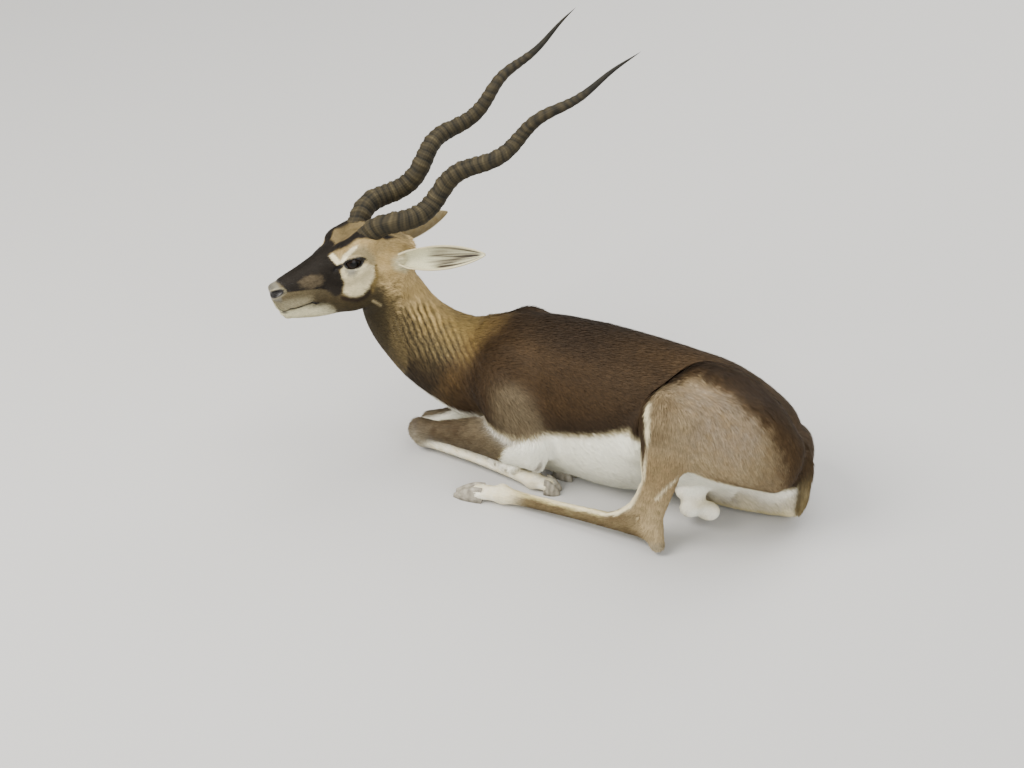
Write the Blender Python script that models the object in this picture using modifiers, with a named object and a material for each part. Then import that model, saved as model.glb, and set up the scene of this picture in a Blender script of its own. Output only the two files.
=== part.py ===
# A blackbuck buck lying on the ground, life size, as faceted solids in metres.
# +Z is up, the body's long axis is X with the head toward -X, and the animal's left side faces -Y.

import math

import bmesh
import bpy
import numpy as np
from mathutils import Matrix, Vector

# Name of the object and of the collection that holds it
OBJECT_NAME = "blackbuck"

# Centre of the footprint in the modelling frame; the finished solids are shifted so that it is the origin
FOOTPRINT_CENTRE = (0.0693, 0.0955)

# Width of the gap that neighbouring nodes keep, and that pieces standing on a rough skin keep
GAP = 0.00035
WIDE_GAP = 0.0006

# Fineness: voxel of the first skin, and triangles kept of it
BODY_VOXEL = 0.0065
HEAD_VOXEL = 0.0019
BODY_TRIANGLES = 4700
HEAD_TRIANGLES = 3500
FINE_REACH = 0.022
FINE_FACTOR = 0.12
HULL_TRIANGLES = 180
TAIL_TRIANGLES = 150
SCROTUM_TRIANGLES = 240
EYE_SEGMENTS = 14

# Parts of the skin lower than this are pressed flat on the ground
GROUND_PRESS = 0.0010

# Distance past which a form no longer pulls on the skin, and the usual fillet between forms
REACH = 0.04
FILLET = 0.022

# The head's place: tip of the nose, and how far it is turned to the left, dipped and rolled
NOSE_TIP = (-0.352, -0.176, 0.318)
HEAD_TURN = math.radians(46.0)
HEAD_DIP = math.radians(4.0)
HEAD_ROLL = math.radians(9.0)

# Eye, measured in the head's own axes: back from the nose, to the side, up
EYE_CENTRE = (0.1330, 0.0305, 0.0250)
EYE_RADIUS = 0.0170

# Horns: straight length from base to tip, base radius, turns of the spiral and rings
HORN_LENGTH = 0.512
HORN_RADIUS = 0.0166
HORN_ROOT = (0.1655, 0.0262, 0.0560)
HORN_TURNS = 3.3
HORN_COIL = 0.0112
HORN_RINGS = 32
HORN_RINGED_PART = 0.82
HORN_SIDES = 8
HORN_FLARE = math.radians(10.8)
HORN_LEAN = math.radians(62.5)
HORN_FIRST_ANGLE = math.radians(154.0)

# Ears: length, widest half width along the curve, thickness, and in the head's axes the root, the direction
# and the way that the hollow faces
EAR_LENGTH = 0.146
EAR_HALF_WIDTH = 0.0270
EAR_THICKNESS = 0.0030
EAR_ROOT = (0.1980, 0.0330, 0.0110)
EAR_DIRECTIONS = {"left": (0.93, 0.34, -0.08), "right": (0.93, 0.36, 0.02)}
EAR_HOLLOWS = {"left": (-0.30, 0.92, 0.28), "right": (0.05, 0.92, -0.15)}

# Trunk, from breast to rump: x, y, z of the axis, then reach up, down and to the side
TRUNK = (
    (-0.075, -0.002, 0.150, 0.066, 0.080, 0.058),
    (-0.030, 0.000, 0.160, 0.080, 0.115, 0.076),
    (0.035, 0.000, 0.160, 0.107, 0.150, 0.088),
    (0.110, 0.000, 0.150, 0.120, 0.152, 0.101),
    (0.190, -0.002, 0.145, 0.122, 0.148, 0.106),
    (0.265, 0.002, 0.142, 0.118, 0.128, 0.100),
    (0.330, 0.010, 0.138, 0.108, 0.115, 0.092),
    (0.395, 0.016, 0.122, 0.086, 0.100, 0.080),
    (0.432, 0.018, 0.102, 0.060, 0.076, 0.062),
)

# Neck, from inside the shoulders to inside the head
NECK = (
    (0.000, 0.000, 0.165, 0.083, 0.105, 0.068),
    (-0.075, -0.001, 0.155, 0.074, 0.098, 0.065),
    (-0.130, -0.006, 0.175, 0.066, 0.088, 0.059),
    (-0.176, -0.014, 0.214, 0.054, 0.074, 0.052),
    (-0.203, -0.028, 0.268, 0.048, 0.060, 0.045),
    (-0.212, -0.044, 0.322, 0.040, 0.042, 0.039),
)

# Upper head and lower jaw in the head's own axes
MUZZLE = (
    (0.015, 0.0, -0.012, 0.0190, 0.0200, 0.0165),
    (0.032, 0.0, -0.008, 0.0250, 0.0290, 0.0205),
    (0.060, 0.0, 0.000, 0.0265, 0.0350, 0.0225),
    (0.090, 0.0, 0.010, 0.0285, 0.0430, 0.0270),
    (0.115, 0.0, 0.018, 0.0320, 0.0520, 0.0330),
    (0.140, 0.0, 0.022, 0.0360, 0.0600, 0.0380),
    (0.170, 0.0, 0.022, 0.0385, 0.0620, 0.0390),
    (0.200, 0.0, 0.014, 0.0370, 0.0520, 0.0370),
    (0.224, 0.0, 0.006, 0.0290, 0.0380, 0.0310),
)
JAW = (
    (0.026, 0.0, -0.046, 0.0120, 0.0100, 0.0125),
    (0.048, 0.0, -0.047, 0.0180, 0.0135, 0.0175),
    (0.080, 0.0, -0.048, 0.0280, 0.0180, 0.0215),
    (0.120, 0.0, -0.042, 0.0320, 0.0250, 0.0280),
    (0.155, 0.0, -0.036, 0.0330, 0.0300, 0.0310),
)

# Lips and cheek between the two
CHEEK = (
    (0.018, 0.0, -0.0330, 0.0130, 0.0100, 0.0155),
    (0.036, 0.0, -0.0330, 0.0150, 0.0110, 0.0205),
    (0.060, 0.0, -0.0310, 0.0160, 0.0130, 0.0228),
    (0.090, 0.0, -0.0270, 0.0180, 0.0160, 0.0250),
    (0.120, 0.0, -0.0220, 0.0200, 0.0200, 0.0290),
)

# Joints of the legs
FORELEGS = {
    "left": dict(
        shoulder=(-0.012, -0.070, 0.168), elbow=(0.060, -0.090, 0.100), knee=(-0.151, -0.053, 0.037),
        fetlock=(0.060, -0.083, 0.0145), pastern=(0.084, -0.081, 0.0125), toe=(0.106, -0.078, 0.010),
    ),
    "right": dict(
        shoulder=(-0.012, 0.070, 0.168), elbow=(0.050, 0.086, 0.094), knee=(-0.149, -0.013, 0.028),
        fetlock=(0.056, -0.025, 0.0150), pastern=(0.083, -0.030, 0.0130), toe=(0.112, -0.035, 0.011),
    ),
}
HINDLEGS = {
    "left": dict(
        seat=(0.436, -0.044, 0.120), thigh=(0.352, -0.108, 0.196), stifle=(0.302, -0.142, 0.238),
        hock=(0.290, -0.154, 0.040), heel=(0.306, -0.166, 0.0125), fetlock=(0.034, -0.140, 0.0160),
        pastern=(-0.004, -0.144, 0.0130), toe=(-0.046, -0.149, 0.010), forward=(-1.0, 0.0, 0.0),
    ),
    "right": dict(
        seat=(0.424, 0.062, 0.085), thigh=(0.350, 0.094, 0.078), stifle=(0.282, 0.098, 0.052),
        hock=(0.442, 0.012, 0.030), heel=(0.460, -0.002, 0.018), fetlock=(0.232, 0.092, 0.0155),
        pastern=(0.198, 0.106, 0.0130), toe=(0.162, 0.118, 0.010), forward=(0.0, 0.0, 1.0),
    ),
}

# Skin that fills the bend in front of the near hock
HOCK_WEB = (
    (0.280, -0.152, 0.104, 0.014, 0.014, 0.012),
    (0.260, -0.151, 0.064, 0.014, 0.014, 0.012),
    (0.228, -0.150, 0.034, 0.012, 0.012, 0.010),
)

# Skin fold from the near stifle to the belly, the top of the near haunch from stifle to hip and rump,
# and the far thigh's inner side, which shows under the near one
FLANK_FOLD = (
    (0.300, -0.118, 0.232, 0.022, 0.022, 0.020),
    (0.262, -0.104, 0.186, 0.020, 0.020, 0.016),
    (0.236, -0.092, 0.136, 0.018, 0.018, 0.014),
)
HAUNCH = (
    (0.300, -0.120, 0.236, 0.037, 0.037, 0.034),
    (0.312, -0.085, 0.244, 0.038, 0.040, 0.036),
    (0.330, -0.050, 0.249, 0.036, 0.044, 0.036),
    (0.368, -0.034, 0.232, 0.040, 0.046, 0.040),
    (0.408, -0.034, 0.200, 0.044, 0.046, 0.044),
    (0.440, -0.040, 0.152, 0.046, 0.044, 0.044),
)
INNER_THIGH = (
    (0.450, 0.010, 0.042, 0.034, 0.042, 0.026),
    (0.400, -0.004, 0.046, 0.040, 0.046, 0.028),
    (0.340, -0.008, 0.048, 0.040, 0.048, 0.026),
)

# Tail, tucked down along the rump and forward under it
TAIL = (
    (0.466, 0.012, 0.138, 0.014, 0.014, 0.015),
    (0.483, 0.009, 0.104, 0.012, 0.014, 0.015),
    (0.485, 0.004, 0.070, 0.010, 0.013, 0.014),
    (0.484, 0.000, 0.042, 0.009, 0.011, 0.013),
    (0.479, 0.001, 0.024, 0.006, 0.008, 0.009),
)

# Scrotum: three lobes, each a centre and three radii
SCROTUM = (
    ((0.316, -0.054, 0.048), (0.029, 0.022, 0.021)),
    ((0.322, -0.071, 0.028), (0.020, 0.018, 0.0170)),
    ((0.351, -0.069, 0.031), (0.023, 0.019, 0.0185)),
)

# Claws: share of the length from pastern to toe, height and half width
CLAW_SECTIONS = ((-0.12, 0.026, 0.0060), (0.25, 0.024, 0.0072), (0.65, 0.016, 0.0066), (1.0, 0.006, 0.0022))


def smooth_min(a, b, fillet):
    nearness = np.maximum(fillet - np.abs(a - b), 0.0) / fillet
    return np.minimum(a, b) - nearness * nearness * fillet * 0.25


def unit(vectors):
    return vectors / np.linalg.norm(vectors, axis=-1, keepdims=True)


def curve_through(rows, steps):
    # Catmull-Rom curve through rows of numbers, the ends extended by reflection
    rows = np.array(rows, float)
    rows = np.vstack([2 * rows[0] - rows[1], rows, 2 * rows[-1] - rows[-2]])
    out = []
    for i in range(1, len(rows) - 2):
        before, start, end, after = rows[i - 1 : i + 3]
        for t in np.arange(steps) / steps:
            out.append(
                0.5 * (2 * start + (end - before) * t + (2 * before - 5 * start + 4 * end - after) * t**2
                       + (3 * start - before - 3 * end + after) * t**3)
            )
    out.append(rows[-2])
    return np.array(out)


class Chain:
    # A limb or trunk form: elliptical sections along a curved axis, rounded at both ends
    def __init__(self, rows, up=(0.0, 0.0, 1.0), steps=5, fillet=FILLET, cap=0.9):
        samples = curve_through(rows, steps)
        self.axis = samples[:, :3]
        self.radii = np.maximum(samples[:, 3:6], 0.001)
        tangent = unit(np.gradient(self.axis, axis=0))
        self.tangent = tangent
        self.side = unit(np.cross(tangent, np.array(up, float)))
        self.up = np.cross(self.side, tangent)
        self.fillet = fillet
        self.cap = cap

    def distance(self, points):
        start, end = self.axis[:-1], self.axis[1:]
        along = end - start
        away = points[:, None, :] - start[None]
        share = np.clip((away * along).sum(-1) / (along * along).sum(-1), 0.0, 1.0)
        away = away - share[..., None] * along[None]
        pick = (away * away).sum(-1).argmin(1)
        rows = np.arange(len(points))
        t = share[rows, pick][:, None]
        offset = away[rows, pick]
        mix = lambda values: values[pick] * (1 - t) + values[pick + 1] * t
        radii = mix(self.radii)
        height = (offset * mix(self.up)).sum(-1)
        across = (offset * mix(self.side)).sum(-1)
        beyond = (offset * mix(self.tangent)).sum(-1)
        inside = ((pick > 0) | (t[:, 0] > 0)) & ((pick < len(start) - 1) | (t[:, 0] < 1))
        whole = np.linalg.norm(offset, axis=-1) / np.maximum(np.hypot(height, across), 1e-9)
        height = np.where(inside, height * whole, height)
        across = np.where(inside, across * whole, across)
        beyond = np.where(inside, 0.0, beyond)
        reach_up = np.where(height > 0, radii[:, 0], radii[:, 1])
        reach_end = self.cap * np.minimum(reach_up, radii[:, 2])
        scaled = np.stack([height / reach_up, across / radii[:, 2], beyond / reach_end], -1)
        size = np.linalg.norm(scaled, axis=-1)
        slope = np.linalg.norm(scaled / np.stack([reach_up, radii[:, 2], reach_end], -1), axis=-1)
        return size * (size - 1.0) / np.maximum(slope, 1e-6)

    def box(self):
        reach = self.radii.max() + REACH
        return self.axis.min(0) - reach, self.axis.max(0) + reach

    def add_tube(self, mesh, sides=14, extra=0.0):
        # A closed loft of this form in the bmesh, with rounded ends
        angles = 2 * math.pi * np.arange(sides) / sides
        rings = []
        count = len(self.axis)
        ends = [(0, -1.0, a) for a in (1.35, 0.9, 0.45)]
        ends += [(i, 0.0, 0.0) for i in range(count)]
        ends += [(count - 1, 1.0, a) for a in (0.45, 0.9, 1.35)]
        for i, sign, angle in ends:
            above, below, wide = self.radii[i] + extra
            out = sign * math.sin(angle) * (self.cap * min(above, below, wide) + extra)
            shrink = math.cos(angle)
            centre = self.axis[i] + self.tangent[i] * out
            ring = []
            for a in angles:
                tall = above if math.sin(a) > 0 else below
                place = centre + shrink * (self.side[i] * wide * math.cos(a) + self.up[i] * tall * math.sin(a))
                ring.append(mesh.verts.new(place))
            rings.append(ring)
        for first, second in zip(rings, rings[1:]):
            for k in range(sides):
                m = (k + 1) % sides
                mesh.faces.new((first[k], first[m], second[m], second[k]))
        mesh.faces.new(rings[0][::-1])
        mesh.faces.new(rings[-1])


class Blob:
    # An ellipsoid: centre, three radii, and the directions of its first and third axes
    def __init__(self, centre, radii, first=(1.0, 0.0, 0.0), third=(0.0, 0.0, 1.0), fillet=FILLET):
        self.centre = np.array(centre, float)
        self.radii = np.array(radii, float)
        first = unit(np.array(first, float))
        second = unit(np.cross(np.array(third, float), first))
        self.axes = np.stack([first, second, np.cross(first, second)])
        self.fillet = fillet

    def distance(self, points):
        scaled = (points - self.centre) @ self.axes.T / self.radii
        size = np.linalg.norm(scaled, axis=-1)
        slope = np.linalg.norm(scaled / self.radii, axis=-1)
        return size * (size - 1.0) / np.maximum(slope, 1e-6)

    def box(self):
        reach = self.radii.max() + REACH
        return self.centre - reach, self.centre + reach

    def add_tube(self, mesh, sides=14, extra=0.0):
        made = bmesh.ops.create_uvsphere(mesh, u_segments=sides, v_segments=sides // 2, radius=1.0)
        radii = self.radii + extra
        for vert in made["verts"]:
            vert.co = Vector(self.centre + (np.array(vert.co) * radii) @ self.axes)


def near_box(points, box):
    low, high = box
    return np.all((points > low) & (points < high), axis=1)


def blended(forms, points):
    # Smooth union of the forms, each joined with its own fillet
    value = np.full(len(points), REACH)
    for form in forms:
        near = near_box(points, form.box())
        if near.any():
            value[near] = smooth_min(value[near], form.distance(points[near]), form.fillet)
    return value


def carved(value, forms, points):
    for form in forms:
        near = near_box(points, form.box())
        if near.any():
            value[near] = -smooth_min(-value[near], form.distance(points[near]), form.fillet)
    return value


def limb(start, end, sections, up=(0.0, 0.0, 1.0), bow=(0.0, 0.0, 0.0), **options):
    # A straight or slightly bowed limb segment; sections are share along, reach up, down and side
    start, end, bow = (np.array(v, float) for v in (start, end, bow))
    rows = []
    for share, above, below, wide in sections:
        place = start + (end - start) * share + bow * math.sin(math.pi * share)
        rows.append((*place, above, below, wide))
    return Chain(rows, up=up, **options)


def foreleg_forms(joints):
    knee, fetlock = (np.array(joints[name]) for name in ("knee", "fetlock"))
    lower_knee = knee + (0.004, 0.0, -0.010)
    return [
        limb(joints["shoulder"], joints["elbow"], (
            (0.0, 0.044, 0.044, 0.034), (0.5, 0.046, 0.046, 0.034), (1.0, 0.032, 0.032, 0.027))),
        limb(joints["elbow"], knee, (
            (0.0, 0.036, 0.060, 0.028), (0.25, 0.034, 0.050, 0.027), (0.6, 0.024, 0.0300, 0.021),
            (0.85, 0.0185, 0.018, 0.018), (1.0, 0.0205, 0.0205, 0.020)), fillet=0.014),
        limb(lower_knee, fetlock, (
            (0.0, 0.0165, 0.0240, 0.0175), (0.14, 0.0135, 0.0170, 0.0145), (0.5, 0.0105, 0.0120, 0.0115),
            (0.85, 0.0115, 0.0120, 0.0120), (1.0, 0.0150, 0.0150, 0.0150)), fillet=0.006),
        limb(fetlock, joints["pastern"], (
            (0.0, 0.0150, 0.0150, 0.0150), (0.5, 0.0120, 0.0120, 0.0145), (1.0, 0.0125, 0.0120, 0.0160)),
            fillet=0.006),
    ]


def hindleg_forms(joints, side):
    hock, fetlock = (np.array(joints[name]) for name in ("hock", "fetlock"))
    forward = joints["forward"]
    lower_hock = hock + (-0.006, 0.002, -0.010)
    if side == "left":
        thigh = Chain((
            (*joints["seat"], 0.064, 0.036, 0.048),
            (0.396, -0.076, 0.158, 0.084, 0.054, 0.056),
            (*joints["thigh"], 0.078, 0.062, 0.047),
            (*joints["stifle"], 0.040, 0.046, 0.032)), fillet=0.030)
    else:
        thigh = Chain((
            (*joints["seat"], 0.052, 0.094, 0.050),
            (0.392, 0.082, 0.084, 0.060, 0.094, 0.048),
            (*joints["thigh"], 0.052, 0.088, 0.046),
            (*joints["stifle"], 0.038, 0.056, 0.038)), fillet=0.030)
    web = []
    if side == "left":
        web = [Chain(HOCK_WEB, fillet=0.020)]
    return web + [
        thigh,
        limb(joints["stifle"], hock, (
            (0.0, 0.036, 0.048, 0.032), (0.35, 0.034, 0.044, 0.028), (0.7, 0.022, 0.029, 0.019),
            (0.88, 0.018, 0.021, 0.0165), (1.0, 0.018, 0.019, 0.017)), up=forward, fillet=0.018),
        limb(hock + (0.004, -0.002, 0.012), joints["heel"], (
            (0.0, 0.016, 0.015, 0.013), (1.0, 0.012, 0.012, 0.0115)), up=forward, fillet=0.008),
        limb(lower_hock, fetlock, (
            (0.0, 0.018, 0.018, 0.017), (0.12, 0.0155, 0.0155, 0.0150), (0.5, 0.0115, 0.0130, 0.0120),
            (0.88, 0.0120, 0.0130, 0.0125), (1.0, 0.0160, 0.0165, 0.0160)), fillet=0.010),
        limb(fetlock, joints["pastern"], (
            (0.0, 0.0160, 0.0165, 0.0160), (0.5, 0.0125, 0.0125, 0.0150), (1.0, 0.0130, 0.0125, 0.0165)),
            fillet=0.006),
    ]


def head_axes():
    # Rows: the head's back, left and up directions in the world
    turn, dip, roll = HEAD_TURN, HEAD_DIP, HEAD_ROLL
    ahead = np.array([-math.cos(turn) * math.cos(dip), -math.sin(turn) * math.cos(dip), -math.sin(dip)])
    left = np.array([math.sin(turn), -math.cos(turn), 0.0])
    up = np.cross(ahead, left)
    return np.stack([
        -ahead, math.cos(roll) * left + math.sin(roll) * up, math.cos(roll) * up - math.sin(roll) * left])


AXES = head_axes()


def to_head(points):
    return (points - np.array(NOSE_TIP)) @ AXES.T


def from_head(points):
    return np.array(points, float) @ AXES + np.array(NOSE_TIP)


def head_forms():
    # Forms on the left half; the field mirrors them
    solid = [
        Chain(MUZZLE, steps=8, fillet=0.012, cap=0.75),
        Chain(JAW, fillet=0.008, cap=0.9),
        Blob((0.132, 0.024, -0.024), (0.040, 0.019, 0.036), first=(1.0, 0.1, 0.3), fillet=0.016),
        Blob((0.137, 0.0310, 0.048), (0.026, 0.0150, 0.0140), first=(1.0, 0.15, 0.12), fillet=0.018),
        Blob((0.112, 0.0270, 0.018), (0.030, 0.0120, 0.0190), first=(1.0, 0.35, 0.1), fillet=0.014),
        Blob((0.152, 0.0360, 0.026), (0.014, 0.0090, 0.0190), fillet=0.012),
        Blob((0.130, 0.0330, 0.006), (0.026, 0.0110, 0.0120), first=(1.0, 0.1, 0.25), fillet=0.014),
        Blob((0.166, 0.0250, 0.052), (0.024, 0.0200, 0.0180), fillet=0.014),
        Blob((0.194, 0.0310, 0.012), (0.020, 0.0150, 0.0190), fillet=0.014),
        Chain(CHEEK, fillet=0.010, cap=0.7),
        Blob((0.0135, 0.0085, -0.0030), (0.011, 0.0080, 0.0090), fillet=0.006),
    ]
    return solid


def lid_forms():
    # Upper and lower lid as two arcs round the eye opening
    x, y, z = EYE_CENTRE
    rows_top, rows_low = [], []
    for share in np.linspace(-1.0, 1.0, 7):
        arch = 1.0 - share * share
        for rows, rise, thick in ((rows_top, 0.0112, 0.0040), (rows_low, -0.0092, 0.0034)):
            ahead = 0.0180 * share
            high = rise * arch - 0.0020 * share
            depth = max(EYE_RADIUS**2 - ahead**2 - high**2, 0.0055**2) ** 0.5
            rows.append((x + ahead, y + depth + 0.0008, z + high, thick, thick, thick))
    return [Chain(rows, steps=3, fillet=0.004) for rows in (rows_top, rows_low)]


def head_cuts():
    x, y, z = EYE_CENTRE
    mouth = Chain((
        (0.006, 0.0000, -0.0405, 0.0030, 0.0030, 0.0050),
        (0.016, 0.0120, -0.0405, 0.0026, 0.0026, 0.0040),
        (0.034, 0.0200, -0.0385, 0.0024, 0.0024, 0.0040),
        (0.052, 0.0230, -0.0350, 0.0022, 0.0022, 0.0036),
        (0.062, 0.0240, -0.0315, 0.0018, 0.0018, 0.0026)), steps=3, fillet=0.0025)
    nostril = Chain((
        (0.0010, 0.0065, -0.0080, 0.0028, 0.0028, 0.0045),
        (0.0065, 0.0130, -0.0045, 0.0036, 0.0036, 0.0045),
        (0.0160, 0.0190, -0.0015, 0.0026, 0.0026, 0.0035)), steps=3, fillet=0.003)
    return [
        Blob((x, y + 0.0150, z), (0.0180, 0.0130, 0.0095), fillet=0.003),
        nostril,
        mouth,
        Blob((0.104, 0.0400, 0.022), (0.010, 0.0050, 0.0028), first=(1.0, 0.3, 0.5), fillet=0.003),
    ]


HEAD_FORMS = head_forms()
LID_FORMS = lid_forms()
HEAD_CUTS = head_cuts()


def head_field(points):
    # The head's value at world points, with both halves mirrored about its middle plane
    local = to_head(points)
    local[:, 1] = np.abs(local[:, 1])
    value = blended(HEAD_FORMS, local)
    value = carved(value, HEAD_CUTS[:1], local)
    for form in LID_FORMS:
        near = near_box(local, form.box())
        if near.any():
            value[near] = smooth_min(value[near], form.distance(local[near]), form.fillet)
    return carved(value, HEAD_CUTS[1:], local)


def body_forms():
    forms = [Chain(TRUNK, steps=10, fillet=0.001), Chain(NECK, steps=10, fillet=0.035)]
    for sign in (-1.0, 1.0):
        blade, elbow = (0.008, sign * 0.056, 0.166), (0.040, sign * 0.074, 0.130)
        forms.append(Blob(blade, (0.046, 0.032, 0.076), first=(1.0, 0.0, 0.3), fillet=0.030))
        forms.append(Blob(elbow, (0.048, 0.026, 0.048), first=(1.0, 0.0, -0.5), fillet=0.025))
    forms.append(Blob((0.345, -0.040, 0.222), (0.055, 0.050, 0.034), first=(1.0, -0.2, -0.15), fillet=0.035))
    forms.append(Blob((0.392, -0.032, 0.162), (0.062, 0.056, 0.052), first=(1.0, -0.1, -0.6), fillet=0.035))
    forms.append(Chain(HAUNCH, fillet=0.022))
    forms.append(Chain(FLANK_FOLD, fillet=0.030))
    forms.append(Chain(INNER_THIGH, fillet=0.020))
    for side in ("left", "right"):
        forms += foreleg_forms(FORELEGS[side])
        forms += hindleg_forms(HINDLEGS[side], side)
    return forms


BODY_FORMS = body_forms()


def skin_field(points):
    value = blended(BODY_FORMS, points)
    return smooth_min(value, head_field(points), 0.022)


def eased(mesh, rounds, factor):
    # Evens out small ripples
    edit = bmesh.new()
    edit.from_mesh(mesh)
    for _ in range(rounds):
        bmesh.ops.smooth_vert(
            edit, verts=edit.verts, factor=factor, use_axis_x=True, use_axis_y=True, use_axis_z=True)
    for vert in edit.verts:
        vert.co.z = max(vert.co.z, 0.0)
    edit.to_mesh(mesh)
    edit.free()


def on_skin(mesh, field, rounds=5):
    # Moves every vertex onto the field's zero surface, and none below the ground
    points = np.empty(len(mesh.vertices) * 3, np.float32)
    mesh.vertices.foreach_get("co", points)
    points = points.reshape(-1, 3).astype(float)
    corners = np.array([(1, -1, -1), (-1, -1, 1), (-1, 1, -1), (1, 1, 1)], float)
    step = 0.0006
    for _ in range(rounds):
        values = np.stack([field(points + step * corner) for corner in corners])
        gradient = np.einsum("kn,kj->nj", values, corners) / (4 * step)
        length = np.maximum((gradient * gradient).sum(-1), 0.05)
        move = values.mean(0) / length
        move = np.clip(move, -0.006, 0.006)
        points -= move[:, None] * gradient
    points[:, 2] = np.maximum(points[:, 2], 0.0)
    mesh.vertices.foreach_set("co", points.astype(np.float32).ravel())
    mesh.update()


def new_object(name, mesh, collection):
    made = bpy.data.objects.new(name, mesh)
    collection.objects.link(made)
    return made


def with_modifier(mesh, kind, collection, **settings):
    # The mesh as one modifier leaves it
    holder = new_object("holder", mesh, collection)
    modifier = holder.modifiers.new("step", kind)
    for key, value in settings.items():
        setattr(modifier, key, value)
    bpy.context.view_layer.update()
    graph = bpy.context.evaluated_depsgraph_get()
    out = bpy.data.meshes.new_from_object(holder.evaluated_get(graph))
    bpy.data.objects.remove(holder)
    return out


def mesh_of_forms(forms, name, extra=0.0):
    edit = bmesh.new()
    for form in forms:
        form.add_tube(edit, extra=extra)
    bmesh.ops.recalc_face_normals(edit, faces=edit.faces)
    mesh = bpy.data.meshes.new(name)
    edit.to_mesh(mesh)
    edit.free()
    return mesh


def joined(meshes, name):
    edit = bmesh.new()
    for mesh in meshes:
        edit.from_mesh(mesh)
    out = bpy.data.meshes.new(name)
    edit.to_mesh(out)
    edit.free()
    return out


def head_tubes():
    # Loft meshes of the head's forms, both halves, in the world
    edit = bmesh.new()
    for form in HEAD_FORMS:
        form.add_tube(edit, sides=20)
    mirrored = bmesh.new()
    for form in HEAD_FORMS:
        form.add_tube(mirrored, sides=20)
    place = Matrix.Identity(4)
    for row in range(3):
        for column in range(3):
            place[row][column] = AXES[column][row]
        place[row][3] = NOSE_TIP[row]
    flip = Matrix.Diagonal((1.0, -1.0, 1.0, 1.0))
    bmesh.ops.transform(edit, matrix=place, verts=edit.verts)
    bmesh.ops.transform(mirrored, matrix=place @ flip, verts=mirrored.verts)
    meshes = []
    for part in (edit, mirrored):
        mesh = bpy.data.meshes.new("head_half")
        part.to_mesh(mesh)
        part.free()
        meshes.append(mesh)
    return joined(meshes, "head_tubes")


def largest_piece(mesh):
    # Keeps only the largest closed surface of a mesh
    edit = bmesh.new()
    edit.from_mesh(mesh)
    bmesh.ops.remove_doubles(edit, verts=edit.verts, dist=1e-6)
    left = set(edit.verts)
    pieces = []
    while left:
        piece, queue = set(), [left.pop()]
        while queue:
            vert = queue.pop()
            piece.add(vert)
            for edge in vert.link_edges:
                other = edge.other_vert(vert)
                if other in left:
                    left.discard(other)
                    queue.append(other)
        pieces.append(piece)
    pieces.sort(key=len, reverse=True)
    loose = [vert for piece in pieces[1:] for vert in piece]
    bmesh.ops.delete(edit, geom=loose, context="VERTS")
    bmesh.ops.triangulate(edit, faces=edit.faces)
    edit.to_mesh(mesh)
    edit.free()
    return mesh


def cut_flat(mesh, point, normal):
    # Removes what lies on the normal's side of a plane and closes the cut
    edit = bmesh.new()
    edit.from_mesh(mesh)
    geometry = list(edit.verts) + list(edit.edges) + list(edit.faces)
    made = bmesh.ops.bisect_plane(edit, geom=geometry, dist=1e-7, plane_co=Vector(point),
                                  plane_no=Vector(normal), clear_outer=True)
    rim = [item for item in made["geom_cut"] if isinstance(item, bmesh.types.BMEdge)]
    bmesh.ops.holes_fill(edit, edges=rim, sides=0)
    bmesh.ops.triangulate(edit, faces=edit.faces)
    bmesh.ops.recalc_face_normals(edit, faces=edit.faces)
    edit.to_mesh(mesh)
    edit.free()
    return largest_piece(mesh)


def grown(mesh, amount):
    # A copy with every vertex moved out along its normal
    copy = mesh.copy()
    normals = [vert.normal.copy() for vert in copy.vertices]
    for vert, normal in zip(copy.vertices, normals):
        vert.co += normal * amount
    return copy


def boolean(mesh, cutter, operation, collection):
    tool = new_object("tool", cutter, collection)
    tool.hide_render = True
    out = with_modifier(mesh, "BOOLEAN", collection, object=tool, operation=operation, solver="MANIFOLD")
    bpy.data.objects.remove(tool)
    return largest_piece(out)


def remeshed(mesh, voxel, collection):
    return with_modifier(mesh, "REMESH", collection, mode="VOXEL", voxel_size=voxel)


def decimated(mesh, triangles, collection, fine_spots=(), fine_reach=0.0):
    # Thins the mesh to its budget, less near the fine spots
    count = sum(len(polygon.vertices) - 2 for polygon in mesh.polygons)
    holder = new_object("holder", mesh, collection)
    modifier = holder.modifiers.new("thinned", "DECIMATE")
    modifier.ratio = min(1.0, triangles / count)
    modifier.use_collapse_triangulate = True
    if fine_spots:
        group = holder.vertex_groups.new(name="thinned")
        places = np.array([vert.co for vert in mesh.vertices])
        away = np.min([np.linalg.norm(places - spot, axis=1) for spot in fine_spots], axis=0)
        group.add([int(i) for i in np.flatnonzero(away > fine_reach)], 1.0, "REPLACE")
        modifier.vertex_group = group.name
        modifier.vertex_group_factor = FINE_FACTOR
    bpy.context.view_layer.update()
    graph = bpy.context.evaluated_depsgraph_get()
    out = bpy.data.meshes.new_from_object(holder.evaluated_get(graph))
    bpy.data.objects.remove(holder)
    return out


def plane_of_head():
    # The cut between head and neck, behind the jaw and the ears
    point = from_head((0.199, 0.0, -0.020))
    normal = np.array((0.88, 0.0, -0.47)) @ AXES
    return point, unit(normal)


def plane_of_neck():
    # The cut between neck and trunk, in front of the shoulders
    point = np.array((-0.078, 0.0, 0.160))
    return point, unit(np.array((-0.90, 0.0, 0.42)))


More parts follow.
